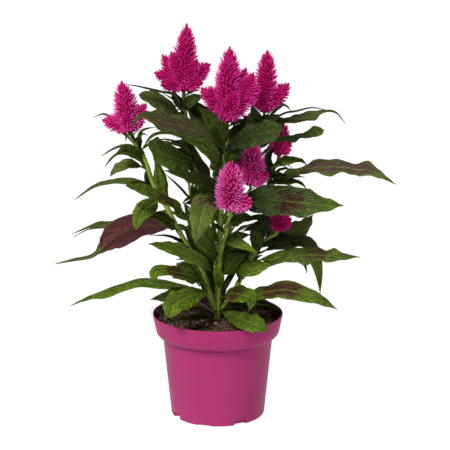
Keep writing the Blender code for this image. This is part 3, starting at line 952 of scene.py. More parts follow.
class Shape(Enum):
    """How a leaf's width runs from its stalk to its tip, as (share of length, of width)."""

    LANCE = ()
    TAILED = ((0.07, 0.45), (0.14, 0.76), (0.24, 0.86), (0.34, 0.97), (0.42, 1.0), (0.49, 0.88),
              (0.55, 0.6), (0.61, 0.34), (0.67, 0.15), (0.84, 0.12), (0.93, 0.06), (1.0, 0.02))
    LONG_TAILED = ((0.08, 0.2), (0.25, 0.75), (0.42, 1.0), (0.58, 0.97), (0.68, 0.62),
                   (0.77, 0.25), (0.9, 0.14), (1.0, 0.02))
    ARCHED = ((0.08, 0.3), (0.2, 0.92), (0.33, 1.0), (0.44, 0.7), (0.52, 0.3), (0.61, 0.18),
              (0.86, 0.15), (1.0, 0.03))
    STRAP = ((0.08, 0.2), (0.22, 0.74), (0.45, 0.96), (0.62, 1.0), (0.75, 0.92), (0.85, 0.5),
             (0.93, 0.2), (1.0, 0.03))
    HOOKED = ((0.08, 0.2), (0.25, 0.68), (0.45, 0.93), (0.62, 1.0), (0.72, 0.84), (0.8, 0.44),
              (0.87, 0.18), (0.94, 0.12), (1.0, 0.02))
    LATE = ((0.1, 0.1), (0.32, 0.36), (0.46, 0.82), (0.6, 1.0), (0.74, 0.84), (0.87, 0.38),
            (1.0, 0.03))
    BLUNT = ((0.1, 0.12), (0.3, 0.5), (0.55, 0.6), (0.7, 0.72), (0.82, 1.0), (0.95, 0.86),
             (1.0, 0.45))
    OVAL = ((0.12, 0.1), (0.28, 0.72), (0.48, 1.0), (0.7, 0.86), (0.87, 0.45), (1.0, 0.03))
    SPOON = ((0.1, 0.12), (0.3, 0.55), (0.5, 0.84), (0.7, 1.0), (0.86, 0.8), (0.96, 0.4),
             (1.0, 0.08))
    WAISTED = ((0.1, 0.25), (0.28, 1.0), (0.46, 0.8), (0.64, 0.62), (0.8, 0.72), (0.93, 0.45),
               (1.0, 0.04))


@dataclass(frozen=True)
class Leaf:
    """A leaf: where it leaves its stem, its size, its path and its colouring.

    The tilt turns its face to the front, in degrees. The tone is how light its green is: partly
    the leaf's own colour and partly painted shade, low for leaves deep among the others. The patch
    is a maroon stretch, as (start, end, strength) along the leaf. The gain is how much lighter it
    is at its tip than at its foot, also partly painted shade. The bloom is how grey it is, or below
    zero how cool.
    """

    name: str
    stem: str
    height: float
    width: float
    tilt: float
    path: tuple[Spot, ...]
    tone: float = 0.35
    wave: float = 0.6
    patch: Spot = (0.0, 0.0, 0.0)
    shape: Shape = Shape.LANCE
    fold: float = 0.16
    gain: float = 0.15
    bloom: float = 0.0


@dataclass(frozen=True)
class Stem:
    """A stem: what carries it, how high it leaves, its radii and the places it passes."""

    name: str
    carrier: str
    height: float
    foot_radius: float
    tip_radius: float
    path: tuple[Spot, ...]
    blush: float = 0.3


@dataclass(frozen=True)
class Head:
    """A flower head: its stem, and its spikes as (foot, tip, radius), the main one first.

    Its pale and tone, which set how white its tips are and how light its florets are, are partly
    its own colour and partly painted light and shade.
    """

    name: str
    stem: str
    spikes: tuple[tuple[Spot, Spot, float], ...]
    pale: float = 0.3
    tone: float = 0.6


STEMS = (
    Stem("main_stem", "", 0, 2.8, 2.0,
         ((0, 80.5, 0), (0, 90, 0), (1, 130, 0), (2, 160, 0), (3, 190, 1), (5, 225, 2),
          (8, 250, 1)), 0.45),
    Stem("left_stem", "main_stem", 103, 2.5, 1.9,
         ((-9, 118, -6), (-13, 133, -9), (-25, 155, -12), (-40, 182, -14), (-50, 205, -15),
          (-58, 217, -16), (-66, 240, -17)), 0.1),
    Stem("right_stem", "main_stem", 98, 2.2, 1.6,
         ((11, 110, 3), (19, 124, 6), (30, 145, 9), (38, 158, 10), (46, 167, 10)), 0.1),
    Stem("upper_left_stem", "main_stem", 150, 1.9, 1.7,
         ((-6, 167, 6), (-13, 200, 10), (-21, 240, 13), (-28, 275, 14)), 0.6),
    Stem("upper_right_stem", "main_stem", 175, 1.7, 1.3,
         ((10, 195, 10), (20, 225, 15), (32, 255, 18)), 0.6),
    Stem("middle_stem", "main_stem", 168, 1.5, 1.3,
         ((9, 181, -4), (19, 198, -5)), 0.3),
    Stem("front_stem", "main_stem", 146, 1.7, 1.4,
         ((5, 160, -12), (9, 177, -23)), 0.1),
    Stem("rear_right_stem", "right_stem", 148, 1.6, 1.3,
         ((39, 173, 19), (44, 205, 25), (50, 228, 28)), 0.6),
    Stem("back_stem", "main_stem", 120, 1.9, 1.3,
         ((4, 138, 20), (12, 180, 36), (20, 225, 45)), 0.3),
    Stem("back_left_stem", "main_stem", 112, 1.9, 1.0,
         ((-8, 130, 22), (-18, 165, 40), (-24, 200, 50), (-27, 228, 54)), 0.3),
)

HEADS = (
    Head("flower_head_left", "left_stem", (
        ((-78, 265, -17), (-86, 313, -17), 10.8), ((-79, 271, -17), (-105, 276, -14), 8.6),
        ((-77, 271, -17), (-63, 292, -13), 7.8), ((-79, 270, -18), (-83, 283, -31), 7.2),
        ((-79, 271, -15), (-73, 286, -2), 7.2), ((-76, 272, -16), (-66, 272, -14), 6.8)),
         0.45, 0.75),
    Head("flower_head_top", "upper_left_stem", (
        ((-30, 302, 12), (-27, 364, 12), 11.0), ((-32, 308, 12), (-50, 336, 14), 8.2),
        ((-30, 308, 10), (-42, 339, 4), 7.8), ((-30, 310, 12), (-58, 319, 12), 8.4),
        ((-28, 308, 11), (-18, 332, 3), 7.6), ((-28, 309, 12), (-5, 327.5, 14), 8.8),
        ((-29, 307, 14), (-33, 333, 25), 7.4), ((-32, 309, 10), (-52, 307, 6), 8.2),
        ((-26, 310, 8), (-12, 309, 2), 7.4)), 0.2, 0.55),
    Head("flower_head_middle_tall", "main_stem", (
        ((8.5, 274, 0), (11, 344, 0), 12.2), ((7, 286, 0), (-16, 306, 1), 9.8),
        ((13, 284, 2), (26, 325, 6), 7.6), ((12, 283, 0), (39, 310, -2), 9.8),
        ((9, 280, -2), (16, 303, -15), 8.4), ((8, 281, 2), (3, 308, 13), 8.4),
        ((21, 294, 0), (33, 320, -3), 8.2)), 0.25, 0.6),
    Head("flower_head_right", "upper_right_stem", (
        ((42, 283, 17), (44.5, 341, 15), 10.3), ((45, 289, 17), (65, 310, 15), 8.8),
        ((42, 289, 18), (39, 312, 29), 7.4), ((43, 290, 15), (31, 300, 11), 8.4)), 0.2, 0.45),
    Head("flower_head_middle_low", "middle_stem", (
        ((30, 216, -2), (32, 258, -2), 11.8), ((31, 221, -3), (47, 227, -10), 8.8),
        ((28, 222, -2), (18, 241, -5), 8.6)), 0.55, 1.0),
    Head("flower_head_front", "front_stem", (
        ((11.5, 193, -28), (12.5, 240, -33), 12.6), ((14, 199, -30), (33, 200, -37), 8.6)),
         1.0, 0.95),
    Head("flower_head_right_behind", "rear_right_stem", (
        ((55, 244, 28), (57, 279, 27), 9.6), ((56, 248, 28), (67, 256, 24), 7.6)), 0.15, 0.4),
    Head("flower_head_low_right", "right_stem", (
        ((54, 174, 9), (57, 206, 7), 10.4), ((56, 179, 8), (68, 185, 3), 7.2)), 0.2, 0.12),
    Head("flower_head_back", "back_stem", (
        ((26, 248, 46), (29, 284, 48), 9.6), ((27, 254, 46), (14, 266, 52), 7.0),
        ((27, 254, 47), (38, 267, 55), 7.0), ((26, 253, 47), (25, 270, 60), 7.0)), 0.3, 0.5),
)

# The leaves that are CAD nodes, in the CAD's order. They lie at its places, apart from
# leaf_upper_left_arched, which is up to 2.5 mm off.
LEAVES = (
    Leaf("leaf_left_folded", "left_stem", 240, 17, 42,
         ((-76, 245, -28), (-87, 246, -38), (-95, 241.5, -44), (-102, 233, -48)), 0.35,
         shape=Shape.TAILED, fold=0.3),
    Leaf("leaf_left_light", "left_stem", 229, 12, 40,
         ((-78, 236, -24), (-87, 233.5, -27), (-93, 229.5, -28), (-97.5, 224, -29)), 0.75,
         shape=Shape.OVAL, bloom=1.0),
    Leaf("leaf_left_long", "left_stem", 211, 15, 12,
         ((-64, 217, -10), (-80, 219.8, -6), (-98, 218.6, 4), (-112, 214.6, 11),
          (-130, 203, 16)), 0.45, 0.3, bloom=0.4, gain=-0.4),
    Leaf("leaf_left_blunt", "main_stem", 176, 18, 35,
         ((-28, 186, -26), (-42, 199, -38), (-56, 207, -50), (-70, 212.3, -58),
          (-83, 216, -62)), 0.45, patch=(0.5, 0.72, 0.6), shape=Shape.SPOON),
    Leaf("leaf_left_hanging", "left_stem", 203, 18, 62,
         ((-61, 198, -34), (-68, 191.5, -48), (-72.5, 184, -56), (-74.5, 173.5, -60)), 0.75,
         shape=Shape.OVAL, bloom=0.25),
    Leaf("leaf_left_maroon", "left_stem", 180, 30, -70,
         ((-52, 179.5, -16), (-70, 179, -24), (-86, 173, -30), (-97, 166, -34), (-106, 157, -37),
          (-116, 149.3, -41), (-131, 146.3, -46), (-149, 142.4, -52)), 0.6, 0.1,
         patch=(0.05, 0.6, 1.0), shape=Shape.TAILED, fold=0.08),
    Leaf("leaf_left_behind", "left_stem", 186, 13, 22,
         ((-70, 181, 12), (-95, 180.5, 26), (-112, 178.5, 33), (-133, 171, 40)), 0.4, 1.0,
         bloom=0.4),
    Leaf("leaf_left_middle", "main_stem", 134, 20, 44,
         ((-12, 143, -20), (-27, 151, -38), (-44, 157, -54), (-63, 161.5, -70)), 0.8,
         shape=Shape.OVAL, bloom=0.3),
    Leaf("leaf_left_curled", "left_stem", 123, 17, 48,
         ((-26, 131, -20), (-39, 134.5, -28), (-50, 136.2, -34), (-58.5, 134, -38),
          (-57, 125, -40)), 0.7, patch=(0.4, 0.68, 0.9), shape=Shape.WAISTED, gain=0.4),
    Leaf("leaf_low_left_long", "left_stem", 111, 18, 16,
         ((-28, 118.2, 8), (-50, 122.2, 18), (-70, 123.8, 24), (-82, 121.5, 27), (-92, 117.5, 30),
          (-104, 113, 33), (-118, 109.8, 35), (-136, 102.6, 38)), 0.6, 0.3, shape=Shape.STRAP),
    Leaf("leaf_low_left_front", "left_stem", 115, 23, 48,
         ((-14, 116, -23), (-27, 111, -42), (-40, 103, -56), (-46, 91, -66)), 0.6,
         shape=Shape.SPOON),
    Leaf("leaf_centre_front", "main_stem", 196, 24, 70,
         ((-8, 201, -24), (-13, 194, -40), (-16, 182, -52), (-21, 161, -60)), 0.6,
         patch=(0.36, 0.58, 0.5), shape=Shape.OVAL, bloom=0.5),
    Leaf("leaf_top_left_dark", "upper_left_stem", 272, 20, 38,
         ((-38, 283, 10), (-50, 291.5, 6), (-60, 296, 3), (-70, 298.5, 1)), 0.05,
         shape=Shape.SPOON, gain=0.3, bloom=0.7),
    Leaf("leaf_top_left_brown", "main_stem", 249, 25, 45,
         ((-8, 261, -12), (-28, 268.5, -24), (-46, 273.4, -36), (-60, 278, -44), (-69, 280, -48),
          (-77, 269, -52)), 0.22, patch=(0.25, 0.78, 0.6), shape=Shape.HOOKED, bloom=0.55),
    Leaf("leaf_upper_left_arched", "main_stem", 229, 22, 50,
         ((-6, 245, -24), (-24, 256.5, -46), (-43, 264, -60), (-58, 262, -69), (-68, 249.5, -74)),
         0.55, shape=Shape.ARCHED, gain=-0.4, bloom=-0.45),
    Leaf("leaf_upper_left_broad", "upper_left_stem", 228, 31, 48,
         ((-26, 235.5, -6), (-36, 239.5, -16), (-48, 244.5, -27), (-63, 253.2, -40)), 0.55,
         shape=Shape.SPOON, bloom=-0.8),
    Leaf("leaf_middle_left", "main_stem", 205, 18, 42,
         ((-8, 216, -12), (-20, 221.5, -24), (-34, 226, -36), (-48, 230, -44)), 0.2),
    Leaf("leaf_top_right_thin", "upper_right_stem", 266, 15, 18,
         ((50, 274, 20), (64, 275.5, 22), (76, 277, 26), (88, 281.5, 30), (98, 284, 33),
          (107, 282.3, 35), (115, 273, 38)), 0.25, 1.0, patch=(0.3, 0.7, 0.3),
         shape=Shape.LONG_TAILED, bloom=0.5),
    Leaf("leaf_top_right_blunt", "upper_right_stem", 244, 16, 25,
         ((45, 256, 6), (60, 258, -2), (74, 260.5, -10), (84, 263.5, -15), (95, 265, -20)),
         -0.5, 1.3, shape=Shape.BLUNT, gain=1.6),
    Leaf("leaf_upper_right_broad", "main_stem", 241, 27, 52,
         ((14, 254, -16), (28, 261, -32), (44, 264, -44), (58.5, 268, -54)), -0.15,
         1.0, shape=Shape.SPOON, gain=0.6, bloom=0.1),
    Leaf("leaf_right_longest", "rear_right_stem", 213, 21.5, 28,
         ((60, 224, 10), (76, 229.6, 0), (92, 232.5, -10), (110, 232.5, -20), (127, 230.2, -28),
          (143, 227.4, -38), (161, 217, -50)), 0.5, 1.2, patch=(0.32, 0.84, 0.85),
         shape=Shape.STRAP, bloom=0.45),
    Leaf("leaf_right_big", "main_stem", 195, 31.5, 54,
         ((16, 202, -6), (33, 202.5, -22), (52, 202, -34), (74, 199.8, -45), (96, 197.5, -54),
          (114, 197.2, -62)), -0.02, 0.8, patch=(0.5, 0.7, 0.9), shape=Shape.OVAL, gain=1.3,
         bloom=-0.2),
    Leaf("leaf_right_grey", "right_stem", 162, 23, 48,
         ((54, 168, 26), (67, 172, 34), (78, 177.5, 40), (86.5, 188.5, 44)), 0.75, shape=Shape.OVAL,
         bloom=0.75),
    Leaf("leaf_right_arching", "right_stem", 151, 15, 34,
         ((48, 157, 6), (62, 161, 4), (74, 164, 4), (82, 162, 4), (88, 152, 4), (92.5, 136, 4),
          (94.5, 113, 4)), 0.15, 0.4, gain=0.9, bloom=0.2),
    Leaf("leaf_right_wavy", "right_stem", 137, 21, 34,
         ((47, 142, -8), (62, 147.5, -16), (80, 150.5, -24), (96, 150, -34), (110, 149, -41),
          (130, 149, -50)), 0.5, 1.3, patch=(0.5, 0.76, 0.65), shape=Shape.LATE, bloom=0.2),
    Leaf("leaf_low_right_long", "right_stem", 109, 20.5, 42,
         ((25, 110.5, -4), (42, 114.8, -14), (62, 117.5, -28), (80, 112.8, -38), (95, 107, -47),
          (110, 99, -54)), 0.6, 0.5, patch=(0.3, 0.66, 0.9), shape=Shape.OVAL),
    Leaf("leaf_low_right_curled", "main_stem", 108, 20, 52,
         ((12, 114, -18), (22, 112.5, -36), (31, 108.5, -50), (29, 97, -58)), 0.5,
         patch=(0.3, 0.6, 0.85), shape=Shape.OVAL),
    Leaf("leaf_over_rim", "main_stem", 95, 21, 45,
         ((12, 94, -24), (26, 87.5, -52), (38, 82.5, -66), (46, 78.5, -72)), 0.5, 0.4,
         shape=Shape.SPOON),
    Leaf("leaf_back_low", "back_left_stem", 122, 18, -20,
         ((-13, 127, 34), (-15, 127, 60), (-17, 121, 88)), 0.5),
    Leaf("leaf_back_left_low", "back_left_stem", 138, 20, -30,
         ((-20, 142, 48), (-30, 141, 70), (-38, 133, 92)), 0.5, patch=(0.4, 0.7, 0.7)),
    Leaf("leaf_back_left_middle", "back_left_stem", 168, 19, -30,
         ((-26, 174, 62), (-29, 178, 84), (-26, 172, 108)), 0.4),
    Leaf("leaf_back_left_outer", "back_left_stem", 186, 18, -25,
         ((-40, 190, 58), (-60, 187, 68), (-84, 180, 78)), 0.45, patch=(0.4, 0.7, 0.6)),
    Leaf("leaf_back_left_inner", "back_left_stem", 203, 18, -30,
         ((-16, 214, 68), (-8, 220, 86), (-2, 214, 106)), 0.35),
    Leaf("leaf_back_left_top", "back_left_stem", 218, 16, -35,
         ((-36, 231, 68), (-42, 241, 78), (-46, 244, 92)), 0.35),
    Leaf("leaf_back_right_low", "back_stem", 148, 20, -30,
         ((16, 152, 48), (24, 152, 72), (32, 140, 96)), 0.5, patch=(0.4, 0.7, 0.6)),
    Leaf("leaf_back_right_middle", "back_stem", 172, 18, -25,
         ((28, 178, 48), (44, 178, 62), (62, 172, 76)), 0.45),
    Leaf("leaf_back_right_outer", "back_stem", 194, 22, -25,
         ((32, 204, 50), (52, 207, 62), (78, 202, 76)), 0.35, patch=(0.4, 0.75, 0.7)),
    Leaf("leaf_back_inner", "back_stem", 206, 18, -30,
         ((6, 218, 66), (0, 224, 84), (-4, 230, 100)), 0.35),
    Leaf("leaf_back_right_top", "back_stem", 230, 16, -30,
         ((36, 240, 58), (46, 250, 70), (52, 262, 80)), 0.3),
)

# The smaller leaves that the photograph shows between them
# Those of tone near 0, such as upper_left_shade, right_shade and centre_dark_mass, are dark leaves
# that put painted shade between the others.
SMALL_LEAVES = (
    Leaf("thin_upper_left", "left_stem", 246, 5, 12,
         ((-79, 253, -14), (-91, 251, -12), (-105, 243.5, -10)), 0.2, 0.3),
    Leaf("low_left_dark", "left_stem", 112, 22, 32,
         ((-20, 113, -8), (-40, 111.5, -16), (-62, 108.5, -20)), 0.05),
    Leaf("under_top_head", "main_stem", 243, 26, 55,
         ((-2, 262, 6), (-12, 276, 12), (-24, 290, 17), (-31, 298, 20)), 0.0, gain=0.0),
    Leaf("under_top_head_front", "main_stem", 247, 18, 55,
         ((2, 266, -6), (-7, 277, -12), (-17, 288, -16)), 0.25),
    Leaf("thin_top_left", "upper_left_stem", 285, 5.5, 10,
         ((-38, 298.5, 4), (-50, 301.5, -2), (-62, 304.5, -6), (-72, 307, -9), (-81, 308.6, -11)),
         0.0, 0.2),
    Leaf("thin_top_left_low", "upper_left_stem", 276, 4, 30,
         ((-34, 290, 8), (-40, 295, 4), (-48, 300, 0)), 0.05, 0.2),
    Leaf("curl_under_left_head", "left_stem", 250, 4, 40,
         ((-70, 263, -26), (-64, 268, -30), (-56, 269.5, -33)), 0.0, 0.2),
    Leaf("curl_under_left_head_low", "left_stem", 248, 5, 40,
         ((-70, 261, -30), (-66, 263.5, -34), (-63, 262, -36)), 0.0, 0.2),
    Leaf("upright_left", "left_stem", 196, 13, 65,
         ((-50, 208, -12), (-52, 221, -12), (-55, 242, -12)), 0.45),
    Leaf("upright_left_outer", "left_stem", 206, 7.5, 70,
         ((-60, 216, -8), (-64, 224, -6), (-63, 235, -4)), 0.4),
    Leaf("upright_left_inner", "left_stem", 200, 10, 62,
         ((-51, 213, -18), (-53, 225, -20), (-57, 239, -20)), 0.6),
    Leaf("upright_left_dark", "left_stem", 192, 12, 60,
         ((-50, 206, -8), (-52, 220, -6), (-55, 239, -4)), 0.15),
    Leaf("left_base_fold", "left_stem", 176, 15, 48,
         ((-44, 181, -26), (-52, 186, -34), (-64, 188, -40)), 0.35, patch=(0.4, 0.9, 0.5),
         shape=Shape.OVAL),
    Leaf("left_behind_prong", "left_stem", 182, 4, 20,
         ((-80, 178, 8), (-113, 176, 18), (-123, 173, 22), (-132, 168, 26)), 0.4, 0.2),
    Leaf("upper_left_rim", "upper_left_stem", 238, 4, 30,
         ((-30, 252, -12), (-40, 257, -20), (-50, 258.6, -26), (-59, 256, -30)), 0.0, 0.2),
    Leaf("upper_left_shade", "upper_left_stem", 240, 13, 45,
         ((-25, 250, 2), (-33, 254, -2), (-45, 255, -6)), 0.0, gain=0.0),
    Leaf("middle_left_thin", "upper_left_stem", 196, 5, 20,
         ((-26, 205.5, -4), (-34, 214, -8), (-47, 227, -12)), 0.05, 0.2),
    Leaf("middle_left_small", "upper_left_stem", 190, 8, 40,
         ((-18, 200, -6), (-24, 205, -10), (-33, 199, -14)), 0.4),
    Leaf("centre_dark_mass", "main_stem", 190, 22, 60,
         ((-5, 203, -4), (-9, 216, -4), (-13, 231, 0)), 0.08),
    Leaf("centre_dark_low", "main_stem", 186, 18, 55,
         ((-8, 195, 8), (-18, 203, 12), (-24, 216, 14)), 0.1),
    Leaf("centre_upright", "main_stem", 148, 9, 70,
         ((-6, 162, -10), (-9, 175, -14), (-11, 190, -16)), 0.5),
    Leaf("centre_upright_left", "main_stem", 144, 8, 65,
         ((-8, 157, -14), (-13, 167, -18), (-18, 178, -20)), 0.5),
    Leaf("centre_upright_small", "main_stem", 162, 5, 60,
         ((-3, 171, -6), (-4, 179, -8), (-4, 189, -8)), 0.8),
    Leaf("low_centre_left", "main_stem", 150, 14, 60,
         ((-8, 158, -12), (-18, 168, -18), (-27, 182, -22)), 0.45, bloom=0.4),
    Leaf("rear_curl", "rear_right_stem", 226, 15, 24,
         ((54, 236, 18), (66, 239, 16), (76, 238.6, 14), (80.5, 235, 12)), 0.55, 0.3),
    Leaf("rear_arc", "rear_right_stem", 221, 4, 20,
         ((49, 234, 20), (56, 237, 16), (62, 236, 14), (68, 232, 12)), 0.0, 0.2),
    Leaf("rear_dark", "rear_right_stem", 210, 10, 30,
         ((48, 225, 14), (60, 224, 8), (72, 224.5, 4), (79, 223.5, 2)), 0.1, 1.0),
    Leaf("rear_light", "rear_right_stem", 203, 13, 26,
         ((50, 219, 14), (61, 219.5, 6), (74, 218.7, 0), (81, 212.5, -2)), 0.65),
    Leaf("centre_right", "main_stem", 160, 13, 40,
         ((10, 165, -14), (22, 160.5, -22), (37, 152.5, -28)), 0.75),
    Leaf("low_right_bright", "right_stem", 125, 18, 48,
         ((22, 135, -8), (34, 138, -16), (50, 141.5, -22)), 0.65, shape=Shape.OVAL),
    Leaf("thin_dark_right", "upper_right_stem", 225, 4, 20,
         ((45, 231, 6), (55, 236, 2), (67, 230, 0)), 0.1, 0.2),
    Leaf("pale_veined", "main_stem", 232, 20, 50,
         ((11, 243, -6), (20, 253, -14), (36, 257, -18)), 0.2),
    Leaf("top_right_shade", "upper_right_stem", 252, 16, 45,
         ((38, 270, 14), (47, 276, 8), (58, 281, 4)), 0.0, gain=0.0),
    Leaf("top_right_shade_left", "upper_right_stem", 246, 18, 50,
         ((34, 264, 6), (30, 272, 2), (22, 281, -2)), 0.02, gain=0.0),
    Leaf("top_right_edge", "upper_right_stem", 268, 3.5, 12,
         ((57, 281, 14), (70, 284, 12), (85, 287.5, 12), (99, 285, 12)), 0.0, 0.2),
    Leaf("top_right_curl", "upper_right_stem", 272, 6, 30,
         ((55, 287, 6), (61, 289.3, 4), (66, 284, 2)), 0.0, 0.2),
    Leaf("small_right", "right_stem", 140, 9, 40,
         ((64, 148, 0), (77, 145, -8), (80.5, 140, -10), (82, 132, -11)), 0.45),
    Leaf("right_shade", "right_stem", 156, 18, 42,
         ((50, 163, 18), (64, 164, 22), (80, 163, 26)), 0.0, gain=0.1),
    Leaf("right_dark_band", "right_stem", 160, 11, 40,
         ((40, 178, 6), (32, 176.5, 8), (22, 173, 10)), 0.0, patch=(0.2, 0.8, 0.4), gain=0.0),
    Leaf("right_inner_dark", "right_stem", 163, 13, 40,
         ((46, 178, 2), (40, 185, 0), (28, 187, -2)), 0.0, patch=(0.2, 0.8, 0.3), gain=0.0),
    Leaf("right_inner_green", "right_stem", 152, 14, 45,
         ((36, 166, 2), (34, 173, -2), (42, 180, -6)), 0.2),
    Leaf("filler_low", "main_stem", 136, 22, 42,
         ((10, 146, 10), (22, 151, 16), (38, 152, 24)), 0.3),
    Leaf("filler_low_front", "main_stem", 128, 18, 50,
         ((9, 138, 0), (16, 146, -2), (27, 151, -4)), 0.45),
    Leaf("filler_middle", "main_stem", 176, 15, 42,
         ((12, 182, 12), (22, 186, 14), (36, 184, 16)), 0.1),
    Leaf("filler_top_right", "upper_right_stem", 250, 14, 45,
         ((30, 266, 20), (24, 272, 26), (16, 278, 30)), 0.1),
    Leaf("filler_left", "main_stem", 185, 13, 45,
         ((-10, 195, 12), (-20, 200, 16), (-31, 199, 18)), 0.15),
    Leaf("filler_low_left", "main_stem", 123, 17, 42,
         ((-9, 134, 8), (-22, 140, 14), (-37, 141, 18)), 0.2),
    Leaf("filler_low_left_front", "main_stem", 118, 12, 50,
         ((-12, 129, -5), (-24, 129.5, -12), (-42, 129, -18)), 0.35, patch=(0.4, 0.8, 0.3)),
    Leaf("filler_low_centre", "main_stem", 112, 12, 52,
         ((-9, 120, 0), (-14, 129, -4), (-22, 136, -6)), 0.45),
    Leaf("filler_centre", "main_stem", 215, 16, 55,
         ((10, 226, 8), (15, 240, 12), (13, 254, 14)), 0.15),
    Leaf("filler_centre_left", "main_stem", 212, 11, 55,
         ((3, 226, 8), (1, 240, 12), (0, 252, 14)), 0.2),
    Leaf("filler_upper_middle", "main_stem", 236, 19, 55,
         ((10, 250, 8), (14, 262, 10), (16, 273, 12)), 0.15, patch=(0.1, 0.8, 0.35)),
    Leaf("left_head_leaf", "left_stem", 254, 5, 30,
         ((-88, 268, -10), (-100, 281, -8), (-111, 279, -6)), 0.3, 0.3, bloom=0.5),
    Leaf("under_left_head", "left_stem", 256, 4, 40,
         ((-78, 264, -24), (-82, 261, -26), (-83, 256, -27)), 0.4, 0.2),
    Leaf("dark_under_top", "upper_left_stem", 283, 13, 50,
         ((-28, 290, 8), (-20, 295, 4), (-11, 298, 2)), 0.0, gain=0.1),
    Leaf("dark_under_top_left", "upper_left_stem", 281, 9, 45,
         ((-34, 291, 18), (-38, 297, 20), (-40, 304, 22)), 0.0, gain=0.1),
    Leaf("upper_left_inner", "upper_left_stem", 220, 8, 60,
         ((-15, 230, 4), (-18, 240, 2), (-22, 254, 0)), 0.1),
    Leaf("upper_left_inner_low", "upper_left_stem", 212, 8, 60,
         ((-12, 220, 4), (-10, 229, 2), (-14, 240, 0)), 0.3),
    Leaf("low_centre_dark", "main_stem", 138, 11, 55,
         ((-12, 150, 4), (-20, 159, 8), (-31, 176, 12)), 0.1, gain=0.1),
    Leaf("low_centre_upright", "main_stem", 156, 10, 55,
         ((-16, 172, -2), (-24, 183, 2), (-31, 201, 6)), 0.3),
    Leaf("rear_upright", "rear_right_stem", 222, 11, 55,
         ((45, 233, 20), (45, 241, 16), (51, 251, 14)), 0.0),
    Leaf("between_heads", "upper_right_stem", 258, 15, 50,
         ((35, 272, 10), (33, 281, 6), (30, 291, 4)), 0.0, gain=0.1),
    Leaf("centre_right_behind", "main_stem", 150, 14, 50,
         ((10, 160, 4), (19, 168, 6), (30, 170, 8)), 0.25),
    Leaf("low_right_upright", "main_stem", 103, 6, 60,
         ((4, 113, 6), (6.5, 122, 8), (10, 133, 10)), 0.35),
    Leaf("behind_middle_low", "main_stem", 226, 15, 50,
         ((12, 236, 4), (18, 243, 8), (24, 253, 10)), 0.05),
    Leaf("before_back_head", "upper_right_stem", 240, 15, 50,
         ((26, 252, 24), (22, 262, 26), (17, 274, 28)), 0.0, gain=0.1),
    Leaf("front_upright_low", "main_stem", 116, 10, 70,
         ((2, 123, -8), (0, 134, -14), (-3, 145, -17)), 1.0),
    Leaf("right_hanging_light", "right_stem", 146, 13, 40,
         ((58, 150, -3), (80, 151, -5), (88, 146, -5), (92.5, 132, -5), (94.5, 112.5, -4)), 0.8,
         0.3, bloom=0.1),
    Leaf("upper_left_fill", "upper_left_stem", 234, 10, 50,
         ((-25, 243, 2), (-31, 247.5, 0), (-39, 250, -3)), 0.2),
    Leaf("maroon_stalk", "main_stem", 143, 5, 40,
         ((-10, 146, -8), (-28, 160, -14), (-44, 168.5, -18), (-62, 169.5, -20)), 0.1, 0.1,
         patch=(0.1, 1.0, 1.0)),
    Leaf("low_left_torn", "main_stem", 138, 8, 45,
         ((-14, 143, -10), (-26, 146.5, -14), (-38, 147, -18)), 0.3, patch=(0.3, 0.9, 0.5)),
    Leaf("low_right_under", "main_stem", 101, 10, 45,
         ((22, 106, -6), (42, 105.5, -12), (58, 99, -16)), 0.1),
    Leaf("low_right_stalk", "main_stem", 110, 3.5, 60,
         ((6, 117, 0), (12, 128, 4), (21, 142, 8)), 0.35, 0.1, patch=(0.0, 1.0, 0.45)),
    Leaf("low_right_stalk_thin", "main_stem", 118, 3, 60,
         ((6, 124, 4), (14, 136, 8), (24, 147, 12)), 0.35, 0.1, patch=(0.0, 1.0, 0.4)),
)


# The looks of what lies on the soil or hangs over the rim, as (name, colour, shade)
LITTER = (
    ("bark", (0.16, 0.085, 0.045), (0.05, 0.026, 0.015)),
    ("pale_grain", (0.62, 0.50, 0.36), (0.42, 0.31, 0.20)),
    ("dead_stalk", (0.34, 0.31, 0.20), (0.17, 0.15, 0.09)),
)

# The paths of the dead stalk and of the fibres over the rim
DEAD_STALK = (((-2.5, 95, -4), (-12, 102, -9), (-24, 109.5, -14)),)
RIM_FIBRES = (
    ((-30, 83, -46), (-32.5, 84.5, -50), (-34, 82, -52.5), (-34.5, 76, -53)),
    ((-28, 82, -47), (-32, 83.5, -50.5), (-33, 80, -53), (-31, 74, -54)),
    ((-34, 85, -45), (-35.5, 85.5, -49.5), (-36, 83, -51.5), (-38, 78, -52)),
    ((-50, 95, -10), (-57, 101, -12), (-62, 99, -13), (-64, 97, -13)),
    ((-51, 93, -16), (-58, 99, -16), (-61.5, 96, -16), (-61, 93, -16)),
)


